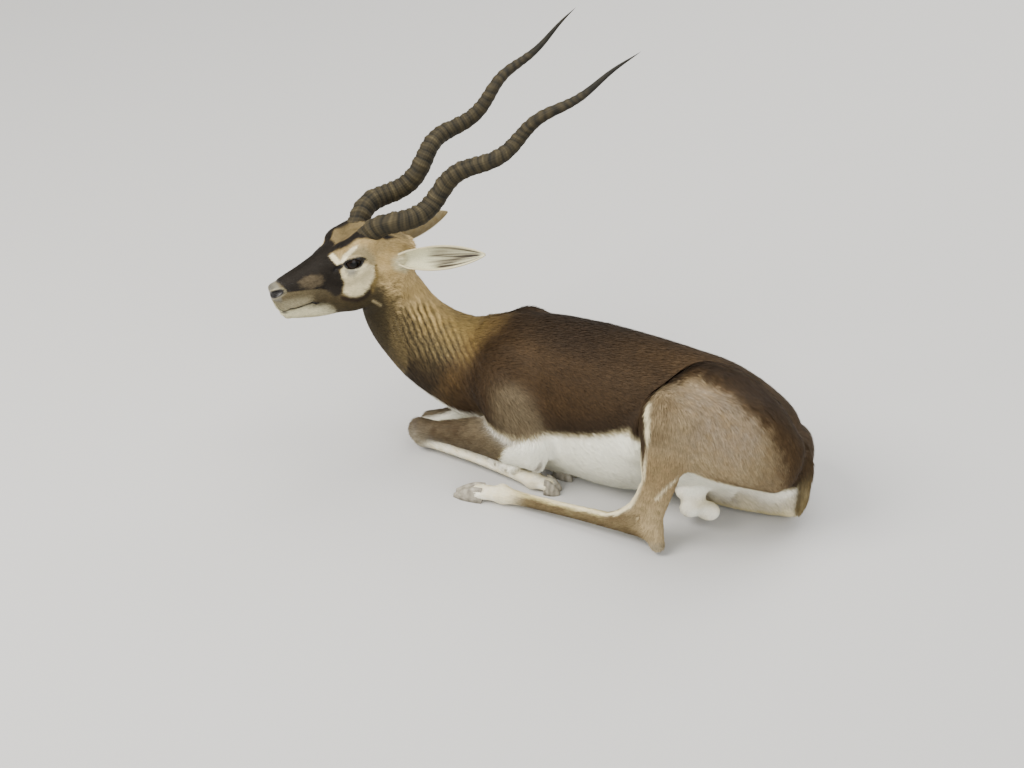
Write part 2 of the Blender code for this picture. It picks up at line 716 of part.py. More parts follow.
def body_skin(helpers):
    # The whole animal but the fine head: one closed skin, thinned to its budget
    tubes = joined([mesh_of_forms(BODY_FORMS, "body_tubes"), head_tubes()], "all_tubes")
    skin = remeshed(tubes, BODY_VOXEL, helpers)
    on_skin(skin, skin_field)
    eased(skin, 2, 0.5)
    point, normal = plane_of_head()
    skin = decimated(cut_flat(skin, point - normal * 0.010, -normal), BODY_TRIANGLES, helpers)
    for vert in skin.vertices:
        if vert.co.z < GROUND_PRESS:
            vert.co.z = 0.0
    return skin


def head_skin(helpers):
    neck_top = Chain(NECK[3:], fillet=0.035)
    tubes = joined([mesh_of_forms([neck_top], "neck_top"), head_tubes()], "head_all")
    skin = remeshed(tubes, HEAD_VOXEL, helpers)
    point, normal = plane_of_head()
    skin = cut_flat(skin, point + normal * 0.012, normal)
    on_skin(skin, skin_field, rounds=4)
    eased(skin, 2, 0.5)
    skin = cut_flat(skin, point + normal * 0.006, normal)
    eyes = [from_head(np.array(EYE_CENTRE) * (1.0, sign, 1.0)) for sign in (1.0, -1.0)]
    skin = decimated(skin, HEAD_TRIANGLES, helpers, fine_spots=eyes, fine_reach=FINE_REACH)
    return cut_flat(skin, point - normal * GAP / 2, normal)


def leg_cutter(forms, extra, helpers):
    # A closed hull round a leg's forms, which parts the leg from the trunk
    tubes = mesh_of_forms(forms, "leg_tubes", extra=extra)
    return decimated(remeshed(tubes, 0.007, helpers), HULL_TRIANGLES, helpers)


def horn_mesh(sign):
    # A ringed spiral horn; sign is 1 for the left one
    root = np.array(HORN_ROOT)
    lean = np.array((math.sin(HORN_LEAN), 0.0, math.cos(HORN_LEAN)))
    axis = math.cos(HORN_FLARE) * lean + np.array((0.0, math.sin(HORN_FLARE), 0.0))
    out = unit(np.array((0.0, 1.0, 0.0)) - axis * axis[1])
    over = unit(np.cross(out, axis))
    over = over if over[2] > 0 else -over
    first = math.cos(HORN_FIRST_ANGLE) * out + math.sin(HORN_FIRST_ANGLE) * over
    root = root - first * HORN_COIL
    shares = list(np.linspace(-0.03, HORN_RINGED_PART, 2 * HORN_RINGS + 1))
    shares += list(np.linspace(HORN_RINGED_PART, 1.0, 9)[1:])
    rows, swell = [], []
    for i, share in enumerate(shares):
        turn = HORN_FIRST_ANGLE - 2 * math.pi * HORN_TURNS * share
        coil = HORN_COIL * (1.0 - max(share, 0.0) ** 1.6)
        rows.append(root + axis * HORN_LENGTH * share + coil * (math.cos(turn) * out + math.sin(turn) * over))
        ringed = max(share, 0.0) < HORN_RINGED_PART - 0.001
        swell.append((1.07 if i % 2 else 0.94) if ringed else 0.98)
    rows = np.array(rows)
    tangent = unit(np.gradient(rows, axis=0))
    edit = bmesh.new()
    rings = []
    for i, share in enumerate(shares):
        radius = HORN_RADIUS * (1.0 - min(max(share, 0.0), 0.985) ** 1.7) ** 0.88 * swell[i]
        side = unit(np.cross(tangent[i], over))
        front = np.cross(side, tangent[i])
        ring = []
        for k in range(HORN_SIDES):
            angle = 2 * math.pi * k / HORN_SIDES
            place = rows[i] + radius * (1.04 * math.cos(angle) * front + 0.96 * math.sin(angle) * side)
            place[1] *= sign
            ring.append(edit.verts.new(from_head(place)))
        rings.append(ring)
    for low, high in zip(rings, rings[1:]):
        for k in range(HORN_SIDES):
            m = (k + 1) % HORN_SIDES
            edit.faces.new((low[k], low[m], high[m], high[k]))
    edit.faces.new(rings[0])
    edit.faces.new(rings[-1])
    bmesh.ops.triangulate(edit, faces=edit.faces)
    bmesh.ops.recalc_face_normals(edit, faces=edit.faces)
    mesh = bpy.data.meshes.new("horn")
    edit.to_mesh(mesh)
    edit.free()
    return mesh


def ear_mesh(side, sign, helpers):
    # A cupped leaf: rolled almost shut at the root, open from a third of its length, pointed at the tip
    along = unit(np.array(EAR_DIRECTIONS[side]))
    hollow = np.array(EAR_HOLLOWS[side])
    hollow = unit(hollow - along * np.dot(hollow, along))
    across = np.cross(along, hollow)
    lengths, widths = 12, 6
    edit = bmesh.new()
    grid = []
    for i in range(lengths):
        share = i / (lengths - 1)
        half = EAR_HALF_WIDTH * (0.90 + 0.10 * math.sin(math.pi * min(share * 1.6, 1.0) * 0.5))
        half *= (1.0 - share**2.6) ** 0.85 + 0.03
        roll = math.radians(95.0 * (1.0 - share) ** 2.0 + 42.0)
        radius = half / roll
        row = []
        for k in range(widths + 1):
            angle = roll * (2.0 * k / widths - 1.0)
            place = np.array(EAR_ROOT) + along * EAR_LENGTH * share
            place = place + across * radius * math.sin(angle) + hollow * radius * (0.85 - math.cos(angle))
            place = place + hollow * 0.004 * math.sin(math.pi * share)
            place[1] *= sign
            row.append(edit.verts.new(from_head(place)))
        grid.append(row)
    for low, high in zip(grid, grid[1:]):
        for k in range(widths):
            edit.faces.new((low[k], low[k + 1], high[k + 1], high[k]))
    bmesh.ops.recalc_face_normals(edit, faces=edit.faces)
    mesh = bpy.data.meshes.new("ear")
    edit.to_mesh(mesh)
    edit.free()
    thick = with_modifier(mesh, "SOLIDIFY", helpers, thickness=EAR_THICKNESS, offset=0.0)
    edit = bmesh.new()
    edit.from_mesh(thick)
    bmesh.ops.triangulate(edit, faces=edit.faces)
    bmesh.ops.recalc_face_normals(edit, faces=edit.faces)
    edit.to_mesh(thick)
    edit.free()
    return thick


def sphere_mesh(centre, radius, segments=EYE_SEGMENTS):
    edit = bmesh.new()
    bmesh.ops.create_uvsphere(edit, u_segments=segments, v_segments=segments // 2, radius=radius)
    bmesh.ops.translate(edit, vec=Vector(centre), verts=edit.verts)
    bmesh.ops.triangulate(edit, faces=edit.faces)
    mesh = bpy.data.meshes.new("ball")
    edit.to_mesh(mesh)
    edit.free()
    return mesh


def claw_mesh(pastern, toe, sideways, sign):
    # One claw of a cloven hoof: a wedge with a flat sole on the ground, pointed ahead
    pastern, toe = np.array(pastern, float), np.array(toe, float)
    ahead = unit((toe - pastern) * (1.0, 1.0, 0.0))
    across = unit(np.array(sideways, float) - ahead * np.dot(sideways, ahead))
    edit = bmesh.new()
    length = np.linalg.norm((toe - pastern)[:2])
    rings = []
    for share, height, wide in CLAW_SECTIONS:
        base = pastern + ahead * length * share
        middle = across * sign * (0.0078 - 0.0012 * share)
        ring = []
        for turn in (0.0, 0.9, 1.57, 2.24, 3.14):
            lift = 0.0004 + height * math.sin(turn) ** 0.8
            place = np.array((base[0], base[1], 0.0)) + middle + across * wide * math.cos(turn)
            ring.append(edit.verts.new((place[0], place[1], lift if 0.0 < turn < 3.0 else 0.0)))
        rings.append(ring)
    for low, high in zip(rings, rings[1:]):
        for k in range(5):
            m = (k + 1) % 5
            edit.faces.new((low[k], low[m], high[m], high[k]))
    edit.faces.new(rings[0])
    edit.faces.new(rings[-1])
    bmesh.ops.triangulate(edit, faces=edit.faces)
    bmesh.ops.recalc_face_normals(edit, faces=edit.faces)
    mesh = bpy.data.meshes.new("claw")
    edit.to_mesh(mesh)
    edit.free()
    return mesh


def material(name, colour, roughness):
    made = bpy.data.materials.new(name)
    made.use_nodes = True
    shader = made.node_tree.nodes["Principled BSDF"]
    shader.inputs["Base Color"].default_value = (*colour, 1.0)
    shader.inputs["Roughness"].default_value = roughness
    shader.inputs["Metallic"].default_value = 0.0
    return made


def clear_scene():
    for old in list(bpy.data.objects):
        bpy.data.objects.remove(old)


def build():
    clear_scene()
    parts = bpy.data.collections.new(OBJECT_NAME)
    helpers = bpy.data.collections.new(OBJECT_NAME + "_helpers")
    bpy.context.scene.collection.children.link(parts)
    bpy.context.scene.collection.children.link(helpers)
    coats = {
        "brown": ((0.066, 0.038, 0.022), 0.8), "tan": ((0.30, 0.19, 0.10), 0.8),
        "black": ((0.020, 0.014, 0.011), 0.7), "cream": ((0.62, 0.56, 0.45), 0.8),
        "white": ((0.72, 0.72, 0.70), 0.8), "horn": ((0.12, 0.095, 0.07), 0.6),
        "hoof": ((0.05, 0.042, 0.035), 0.5), "eye": ((0.006, 0.004, 0.003), 0.1),
    }
    meshes, coat_of = {}, {}
    body = body_skin(helpers)
    head = head_skin(helpers)

    # The legs part along hulls of their own, the neck and trunk at one plane
    point, normal = plane_of_head()
    body = cut_flat(body, point + normal * GAP / 2, -normal)
    for side in ("left", "right"):
        legs = {"foreleg": foreleg_forms(FORELEGS[side])[1:], "hindleg": hindleg_forms(HINDLEGS[side], side)}
        for kind, forms in legs.items():
            hull = leg_cutter(forms, 0.006, helpers)
            meshes[f"{kind}_{side}"] = boolean(body.copy(), hull.copy(), "INTERSECT", helpers)
            body = boolean(body, grown(hull, GAP), "DIFFERENCE", helpers)
            coat_of[f"{kind}_{side}"] = "brown"
    point, normal = plane_of_neck()
    meshes["neck"] = cut_flat(body.copy(), point + normal * GAP / 2, -normal)
    meshes["torso"] = cut_flat(body, point - normal * GAP / 2, normal)
    coat_of["neck"], coat_of["torso"] = "tan", "brown"

    # Each eye is a whole ball, and the head holds a socket for it
    for side, sign in (("left", 1.0), ("right", -1.0)):
        centre = from_head(np.array(EYE_CENTRE) * (1.0, sign, 1.0))
        meshes[f"eye_{side}"] = sphere_mesh(centre, EYE_RADIUS)
        head = boolean(head, sphere_mesh(centre, EYE_RADIUS + GAP), "DIFFERENCE", helpers)
    meshes["head"], coat_of["head"] = head, "black"

    # Pieces that grow from the skin end on it, a gap away
    wide_head, wide_neck = grown(head, WIDE_GAP), grown(meshes["neck"], WIDE_GAP)
    for side, sign in (("left", 1.0), ("right", -1.0)):
        ear = boolean(ear_mesh(side, sign, helpers), wide_head.copy(), "DIFFERENCE", helpers)
        meshes[f"ear_{side}"] = boolean(ear, wide_neck.copy(), "DIFFERENCE", helpers)
        meshes[f"horn_{side}"] = boolean(horn_mesh(sign), wide_head.copy(), "DIFFERENCE", helpers)
        coat_of[f"eye_{side}"], coat_of[f"ear_{side}"], coat_of[f"horn_{side}"] = "eye", "tan", "horn"
    for kind, table in (("foreleg", FORELEGS), ("hindleg", HINDLEGS)):
        for side in ("left", "right"):
            leg = grown(meshes[f"{kind}_{side}"], WIDE_GAP)
            joints = table[side]
            for place, sign in (("outer", -1.0), ("inner", 1.0)):
                claw = claw_mesh(joints["pastern"], joints["toe"], (0.0, 1.0, 0.0), sign)
                name = f"hoof_{kind[:4]}_{side}_{place}"
                claw = boolean(claw, leg.copy(), "DIFFERENCE", helpers)
                meshes[name] = boolean(claw, grown(meshes["torso"], WIDE_GAP), "DIFFERENCE", helpers)
                coat_of[name] = "hoof"

    tail = remeshed(mesh_of_forms([Chain(TAIL, up=(1.0, 0.0, 0.0))], "tail"), 0.004, helpers)
    tail = decimated(tail, TAIL_TRIANGLES, helpers)
    for name in ("hindleg_right", "hindleg_left", "torso"):
        tail = boolean(tail, grown(meshes[name], WIDE_GAP), "DIFFERENCE", helpers)
    meshes["tail"], coat_of["tail"] = tail, "brown"
    lobes = remeshed(mesh_of_forms([Blob(*lobe) for lobe in SCROTUM], "lobes"), 0.004, helpers)
    lobes = decimated(lobes, SCROTUM_TRIANGLES, helpers)
    for name in ("torso", "hindleg_left", "hindleg_right"):
        lobes = boolean(lobes, grown(meshes[name], WIDE_GAP), "DIFFERENCE", helpers)
    meshes["scrotum"], coat_of["scrotum"] = lobes, "white"

    for name, mesh in meshes.items():
        mesh.transform(Matrix.Translation((-FOOTPRINT_CENTRE[0], -FOOTPRINT_CENTRE[1], 0.0)))
        colour, roughness = coats[coat_of[name]]
        mesh.materials.clear()
        mesh.materials.append(material(name + "_finish", colour, roughness))
        new_object(name, mesh, parts)
    places = np.array([vert.co for mesh in meshes.values() for vert in mesh.vertices])
    counts = {name: len(mesh.polygons) for name, mesh in meshes.items()}
    print("triangles", sum(counts.values()), counts)
    print("bounds", places.min(0).round(4), places.max(0).round(4))


build()
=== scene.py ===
import math

import bmesh
import bpy
import numpy as np
from mathutils import Matrix, Vector


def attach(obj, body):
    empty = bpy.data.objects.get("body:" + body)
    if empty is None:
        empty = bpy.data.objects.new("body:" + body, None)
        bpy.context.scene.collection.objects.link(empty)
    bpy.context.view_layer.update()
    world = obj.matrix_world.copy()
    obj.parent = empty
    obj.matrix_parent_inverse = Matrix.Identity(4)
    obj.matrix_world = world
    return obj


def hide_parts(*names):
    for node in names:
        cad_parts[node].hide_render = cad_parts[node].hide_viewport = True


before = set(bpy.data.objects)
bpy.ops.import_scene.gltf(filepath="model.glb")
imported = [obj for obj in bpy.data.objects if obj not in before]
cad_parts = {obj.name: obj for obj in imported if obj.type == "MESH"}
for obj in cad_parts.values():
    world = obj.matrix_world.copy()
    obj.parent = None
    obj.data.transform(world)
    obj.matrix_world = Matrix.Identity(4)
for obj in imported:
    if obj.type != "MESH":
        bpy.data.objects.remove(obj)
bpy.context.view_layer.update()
print("stage: frame loaded")

# The forms are in the solids' modelling axes; finished pieces are shifted by this
footprintCentre = (0.0693, 0.0955)

# How far a form's distance is followed, and how widely it blends into the next form unless told otherwise
reach = 0.04
usualFillet = 0.022
worldUp = (0.0, 0.0, 1.0)

# The head's place, and the eye in the head's own axes: back, to the side, up
noseTip = (-0.352, -0.176, 0.318)
headTurn = math.radians(46.0)
headDip = math.radians(4.0)
headRoll = math.radians(9.0)
eyeCentre = (0.1330, 0.0305, 0.0250)
eyeRadius = 0.0170

# Rows of the limbs' axes: place, then reach up, down and to each side
trunkRows = (
    (-0.075, -0.002, 0.150, 0.066, 0.080, 0.058),
    (-0.030, 0.000, 0.160, 0.080, 0.115, 0.076),
    (0.035, 0.000, 0.160, 0.107, 0.150, 0.088),
    (0.110, 0.000, 0.150, 0.120, 0.152, 0.101),
    (0.190, -0.002, 0.145, 0.122, 0.148, 0.106),
    (0.265, 0.002, 0.142, 0.118, 0.128, 0.100),
    (0.330, 0.010, 0.138, 0.108, 0.115, 0.092),
    (0.395, 0.016, 0.122, 0.086, 0.100, 0.080),
    (0.432, 0.018, 0.102, 0.060, 0.076, 0.062),
)
neckRows = (
    (0.000, 0.000, 0.165, 0.083, 0.105, 0.068),
    (-0.075, -0.001, 0.155, 0.074, 0.098, 0.065),
    (-0.130, -0.006, 0.175, 0.066, 0.088, 0.059),
    (-0.176, -0.014, 0.214, 0.054, 0.074, 0.052),
    (-0.203, -0.028, 0.268, 0.048, 0.060, 0.045),
    (-0.212, -0.044, 0.322, 0.040, 0.042, 0.039),
)
muzzleRows = (
    (0.015, 0.0, -0.012, 0.0190, 0.0200, 0.0165),
    (0.032, 0.0, -0.008, 0.0250, 0.0290, 0.0205),
    (0.060, 0.0, 0.000, 0.0265, 0.0350, 0.0225),
    (0.090, 0.0, 0.010, 0.0285, 0.0430, 0.0270),
    (0.115, 0.0, 0.018, 0.0320, 0.0520, 0.0330),
    (0.140, 0.0, 0.022, 0.0360, 0.0600, 0.0380),
    (0.170, 0.0, 0.022, 0.0385, 0.0620, 0.0390),
    (0.200, 0.0, 0.014, 0.0370, 0.0520, 0.0370),
    (0.224, 0.0, 0.006, 0.0290, 0.0380, 0.0310),
)
jawRows = (
    (0.026, 0.0, -0.046, 0.0120, 0.0100, 0.0125),
    (0.048, 0.0, -0.047, 0.0180, 0.0135, 0.0175),
    (0.080, 0.0, -0.048, 0.0280, 0.0180, 0.0215),
    (0.120, 0.0, -0.042, 0.0320, 0.0250, 0.0280),
    (0.155, 0.0, -0.036, 0.0330, 0.0300, 0.0310),
)
cheekRows = (
    (0.018, 0.0, -0.0330, 0.0130, 0.0100, 0.0155),
    (0.036, 0.0, -0.0330, 0.0150, 0.0110, 0.0205),
    (0.060, 0.0, -0.0310, 0.0160, 0.0130, 0.0228),
    (0.090, 0.0, -0.0270, 0.0180, 0.0160, 0.0250),
    (0.120, 0.0, -0.0220, 0.0200, 0.0200, 0.0290),
)
foreLegs = {
    "left": dict(
        shoulder=(-0.012, -0.070, 0.168), elbow=(0.060, -0.090, 0.100), knee=(-0.151, -0.053, 0.037),
        fetlock=(0.060, -0.083, 0.0145), pastern=(0.084, -0.081, 0.0125), toe=(0.106, -0.078, 0.010),
    ),
    "right": dict(
        shoulder=(-0.012, 0.070, 0.168), elbow=(0.050, 0.086, 0.094), knee=(-0.149, -0.013, 0.028),
        fetlock=(0.056, -0.025, 0.0150), pastern=(0.083, -0.030, 0.0130), toe=(0.112, -0.035, 0.011),
    ),
}
hindLegs = {
    "left": dict(
        seat=(0.436, -0.044, 0.120), thigh=(0.352, -0.108, 0.196), stifle=(0.302, -0.142, 0.238),
        hock=(0.290, -0.154, 0.040), heel=(0.306, -0.166, 0.0125), fetlock=(0.034, -0.140, 0.0160),
        pastern=(-0.004, -0.144, 0.0130), toe=(-0.046, -0.149, 0.010), forward=(-1.0, 0.0, 0.0),
    ),
    "right": dict(
        seat=(0.424, 0.062, 0.085), thigh=(0.350, 0.094, 0.078), stifle=(0.282, 0.098, 0.052),
        hock=(0.442, 0.012, 0.030), heel=(0.460, -0.002, 0.018), fetlock=(0.232, 0.092, 0.0155),
        pastern=(0.198, 0.106, 0.0130), toe=(0.162, 0.118, 0.010), forward=(0.0, 0.0, 1.0),
    ),
}
hockWeb = (
    (0.280, -0.152, 0.104, 0.014, 0.014, 0.012),
    (0.260, -0.151, 0.064, 0.014, 0.014, 0.012),
    (0.228, -0.150, 0.034, 0.012, 0.012, 0.010),
)
flankFold = (
    (0.300, -0.118, 0.232, 0.022, 0.022, 0.020),
    (0.262, -0.104, 0.186, 0.020, 0.020, 0.016),
    (0.236, -0.092, 0.136, 0.018, 0.018, 0.014),
)
haunch = (
    (0.300, -0.120, 0.236, 0.037, 0.037, 0.034),
    (0.312, -0.085, 0.244, 0.038, 0.040, 0.036),
    (0.330, -0.050, 0.249, 0.036, 0.044, 0.036),
    (0.368, -0.034, 0.232, 0.040, 0.046, 0.040),
    (0.408, -0.034, 0.200, 0.044, 0.046, 0.044),
    (0.440, -0.040, 0.152, 0.046, 0.044, 0.044),
)
innerThigh = (
    (0.450, 0.010, 0.042, 0.034, 0.042, 0.026),
    (0.400, -0.004, 0.046, 0.040, 0.046, 0.028),
    (0.340, -0.008, 0.048, 0.040, 0.048, 0.026),
)
tailRows = (
    (0.466, 0.012, 0.138, 0.014, 0.014, 0.015),
    (0.483, 0.009, 0.104, 0.012, 0.014, 0.015),
    (0.485, 0.004, 0.070, 0.010, 0.013, 0.014),
    (0.484, 0.000, 0.042, 0.009, 0.011, 0.013),
    (0.479, 0.001, 0.024, 0.006, 0.008, 0.009),
)
scrotumLobes = (
    ((0.316, -0.054, 0.048), (0.029, 0.022, 0.021)),
    ((0.322, -0.071, 0.028), (0.020, 0.018, 0.0170)),
    ((0.351, -0.069, 0.031), (0.023, 0.019, 0.0185)),
)


def smoothMin(a, b, fillet):
    nearness = np.maximum(fillet - np.abs(a - b), 0.0) / fillet
    return np.minimum(a, b) - nearness * nearness * fillet * 0.25


def unit(vectors):
    return vectors / np.maximum(np.linalg.norm(vectors, axis=-1, keepdims=True), 1e-12)


def ramp(low, high, value):
    # 0 below low, 1 above high, smooth between; high may be the smaller one
    t = np.clip((value - low) / (high - low), 0.0, 1.0)
    return t * t * (3.0 - 2.0 * t)


def curveThrough(rows, steps):
    # Catmull-Rom curve through rows of numbers, the ends extended by reflection
    rows = np.array(rows, float)
    rows = np.vstack([2 * rows[0] - rows[1], rows, 2 * rows[-1] - rows[-2]])
    out = []
    for i in range(1, len(rows) - 2):
        before, start, end, after = rows[i - 1 : i + 3]
        for t in np.arange(steps) / steps:
            out.append(
                0.5 * (2 * start + (end - before) * t + (2 * before - 5 * start + 4 * end - after) * t**2
                       + (3 * start - before - 3 * end + after) * t**3)
            )
    out.append(rows[-2])
    return np.array(out)


# Where the rings of a limb's round ends sit, in radians
capAngles = (0.45, 0.9, 1.35)


def closeTube(edit, rings):
    # Walls between the rings of points, and a cap at each end
    for low, high in zip(rings, rings[1:]):
        for k in range(len(low)):
            m = (k + 1) % len(low)
            edit.faces.new((low[k], low[m], high[m], high[k]))
    edit.faces.new(rings[0][::-1])
    edit.faces.new(rings[-1])


class Limb:
    # Elliptical sections along a curved axis, rounded at both ends
    def __init__(self, rows, up=worldUp, steps=5, fillet=usualFillet, cap=0.9):
        samples = curveThrough(rows, steps)
        self.axis = samples[:, :3]
        self.radii = np.maximum(samples[:, 3:6], 0.001)
        self.tangent = unit(np.gradient(self.axis, axis=0))
        self.side = unit(np.cross(self.tangent, np.array(up, float)))
        self.up = np.cross(self.side, self.tangent)
        self.fillet = fillet
        self.cap = cap

    def nearest(self, points):
        start, end = self.axis[:-1], self.axis[1:]
        along = end - start
        away = points[:, None, :] - start[None]
        share = np.clip((away * along).sum(-1) / (along * along).sum(-1), 0.0, 1.0)
        away = away - share[..., None] * along[None]
        pick = (away * away).sum(-1).argmin(1)
        rows = np.arange(len(points))
        return pick, share[rows, pick][:, None], away[rows, pick]

    def distance(self, points):
        pick, t, offset = self.nearest(points)
        mix = lambda values: values[pick] * (1 - t) + values[pick + 1] * t
        radii = mix(self.radii)
        height = (offset * mix(self.up)).sum(-1)
        across = (offset * mix(self.side)).sum(-1)
        beyond = (offset * mix(self.tangent)).sum(-1)
        inside = ((pick > 0) | (t[:, 0] > 0)) & ((pick < len(self.axis) - 2) | (t[:, 0] < 1))
        whole = np.linalg.norm(offset, axis=-1) / np.maximum(np.hypot(height, across), 1e-9)
        height = np.where(inside, height * whole, height)
        across = np.where(inside, across * whole, across)
        beyond = np.where(inside, 0.0, beyond)
        reachUp = np.where(height > 0, radii[:, 0], radii[:, 1])
        reachEnd = self.cap * np.minimum(reachUp, radii[:, 2])
        scaled = np.stack([height / reachUp, across / radii[:, 2], beyond / reachEnd], -1)
        size = np.linalg.norm(scaled, axis=-1)
        slope = np.linalg.norm(scaled / np.stack([reachUp, radii[:, 2], reachEnd], -1), axis=-1)
        return size * (size - 1.0) / np.maximum(slope, 1e-6)

    def lie(self, points):
        # The axis' direction beside each point
        pick, t, offset = self.nearest(points)
        return unit(self.tangent[pick] * (1 - t) + self.tangent[pick + 1] * t)

    def box(self):
        far = self.radii.max() + reach
        return self.axis.min(0) - far, self.axis.max(0) + far

    def addTube(self, edit, sides=14):
        angles = 2 * math.pi * np.arange(sides) / sides
        ends = [(0, -1.0, a) for a in capAngles[::-1]]
        ends += [(i, 0.0, 0.0) for i in range(len(self.axis))]
        ends += [(len(self.axis) - 1, 1.0, a) for a in capAngles]
        rings = []
        for i, sign, angle in ends:
            above, below, wide = self.radii[i]
            out = sign * math.sin(angle) * self.cap * min(above, below, wide)
            centre = self.axis[i] + self.tangent[i] * out
            shrink = math.cos(angle)
            ring = []
            for a in angles:
                tall = above if math.sin(a) > 0 else below
                place = centre + shrink * (self.side[i] * wide * math.cos(a) + self.up[i] * tall * math.sin(a))
                ring.append(edit.verts.new(place))
            rings.append(ring)
        closeTube(edit, rings)


class Lump:
    # An ellipsoid: centre, three radii and the direction of its first axis
    def __init__(self, centre, radii, first=(1.0, 0.0, 0.0), fillet=usualFillet):
        self.centre = np.array(centre, float)
        self.radii = np.array(radii, float)
        first = unit(np.array(first, float))
        second = unit(np.cross(worldUp, first))
        self.axes = np.stack([first, second, np.cross(first, second)])
        self.fillet = fillet

    def distance(self, points):
        scaled = (points - self.centre) @ self.axes.T / self.radii
        size = np.linalg.norm(scaled, axis=-1)
        slope = np.linalg.norm(scaled / self.radii, axis=-1)
        return size * (size - 1.0) / np.maximum(slope, 1e-6)

    def box(self):
        far = self.radii.max() + reach
        return self.centre - far, self.centre + far

    def lie(self, points):
        return np.tile(self.axes[0], (len(points), 1))

    def addTube(self, edit, sides=14):
        made = bmesh.ops.create_uvsphere(edit, u_segments=sides, v_segments=sides // 2, radius=1.0)
        for vert in made["verts"]:
            vert.co = Vector(self.centre + (np.array(vert.co) * self.radii) @ self.axes)


def nearBox(points, box):
    low, high = box
    return np.all((points > low) & (points < high), axis=1)


def merged(value, forms, points):
    # Blends the forms' distances into those given
    for form in forms:
        near = nearBox(points, form.box())
        if near.any():
            value[near] = smoothMin(value[near], form.distance(points[near]), form.fillet)
    return value


def blended(forms, points):
    return merged(np.full(len(points), reach), forms, points)


def carved(value, forms, points):
    return -merged(-value, forms, points)


def segment(start, end, sections, up=worldUp, **options):
    # A straight limb; sections are share along, reach up, down and side
    start, end = np.array(start, float), np.array(end, float)
    rows = [(*(start + (end - start) * share), above, below, wide) for share, above, below, wide in sections]
    return Limb(rows, up=up, **options)


def foreLegForms(joints):
    knee, fetlock = np.array(joints["knee"]), np.array(joints["fetlock"])
    return {
        "arm": [segment(joints["shoulder"], joints["elbow"], (
            (0.0, 0.044, 0.044, 0.034), (0.5, 0.046, 0.046, 0.034), (1.0, 0.032, 0.032, 0.027)))],
        "forearm": [segment(joints["elbow"], knee, (
            (0.0, 0.036, 0.060, 0.028), (0.25, 0.034, 0.050, 0.027), (0.6, 0.024, 0.0300, 0.021),
            (0.85, 0.0185, 0.018, 0.018), (1.0, 0.0205, 0.0205, 0.020)), fillet=0.014)],
        "cannon": [segment(knee + (0.004, 0.0, -0.010), fetlock, (
            (0.0, 0.0165, 0.0240, 0.0175), (0.14, 0.0135, 0.0170, 0.0145), (0.5, 0.0105, 0.0120, 0.0115),
            (0.85, 0.0115, 0.0120, 0.0120), (1.0, 0.0150, 0.0150, 0.0150)), fillet=0.006)],
        "foot": [segment(fetlock, joints["pastern"], (
            (0.0, 0.0150, 0.0150, 0.0150), (0.5, 0.0120, 0.0120, 0.0145), (1.0, 0.0125, 0.0120, 0.0160)),
            fillet=0.006)],
    }


def hindLegForms(joints, side):
    hock, fetlock = np.array(joints["hock"]), np.array(joints["fetlock"])
    forward = joints["forward"]
    if side == "left":
        thigh = Limb((
            (*joints["seat"], 0.064, 0.036, 0.048), (0.396, -0.076, 0.158, 0.084, 0.054, 0.056),
            (*joints["thigh"], 0.078, 0.062, 0.047), (*joints["stifle"], 0.040, 0.046, 0.032)), fillet=0.030)
    else:
        thigh = Limb((
            (*joints["seat"], 0.052, 0.094, 0.050), (0.392, 0.082, 0.084, 0.060, 0.094, 0.048),
            (*joints["thigh"], 0.052, 0.088, 0.046), (*joints["stifle"], 0.038, 0.056, 0.038)), fillet=0.030)
    return {
        "web": [Limb(hockWeb, fillet=0.020)] if side == "left" else [],
        "thigh": [thigh],
        "gaskin": [segment(joints["stifle"], hock, (
            (0.0, 0.036, 0.048, 0.032), (0.35, 0.034, 0.044, 0.028), (0.7, 0.022, 0.029, 0.019),
            (0.88, 0.018, 0.021, 0.0165), (1.0, 0.018, 0.019, 0.017)), up=forward, fillet=0.018),
            segment(hock + (0.004, -0.002, 0.012), joints["heel"], (
                (0.0, 0.016, 0.015, 0.013), (1.0, 0.012, 0.012, 0.0115)), up=forward, fillet=0.008)],
        "cannon": [segment(hock + (-0.006, 0.002, -0.010), fetlock, (
            (0.0, 0.018, 0.018, 0.017), (0.12, 0.0155, 0.0155, 0.0150), (0.5, 0.0115, 0.0130, 0.0120),
            (0.88, 0.0120, 0.0130, 0.0125), (1.0, 0.0160, 0.0165, 0.0160)), fillet=0.010)],
        "foot": [segment(fetlock, joints["pastern"], (
            (0.0, 0.0160, 0.0165, 0.0160), (0.5, 0.0125, 0.0125, 0.0150), (1.0, 0.0130, 0.0125, 0.0165)),
            fillet=0.006)],
    }


def headAxes():
    # Rows: the head's back, left and up directions in the world
    ahead = np.array([-math.cos(headTurn) * math.cos(headDip), -math.sin(headTurn) * math.cos(headDip),
                      -math.sin(headDip)])
    left = np.array([math.sin(headTurn), -math.cos(headTurn), 0.0])
    up = np.cross(ahead, left)
    return np.stack([-ahead, math.cos(headRoll) * left + math.sin(headRoll) * up,
                     math.cos(headRoll) * up - math.sin(headRoll) * left])


axes = headAxes()


def toHead(points):
    return (points - np.array(noseTip)) @ axes.T


def fromHead(points):
    return np.array(points, float) @ axes + np.array(noseTip)


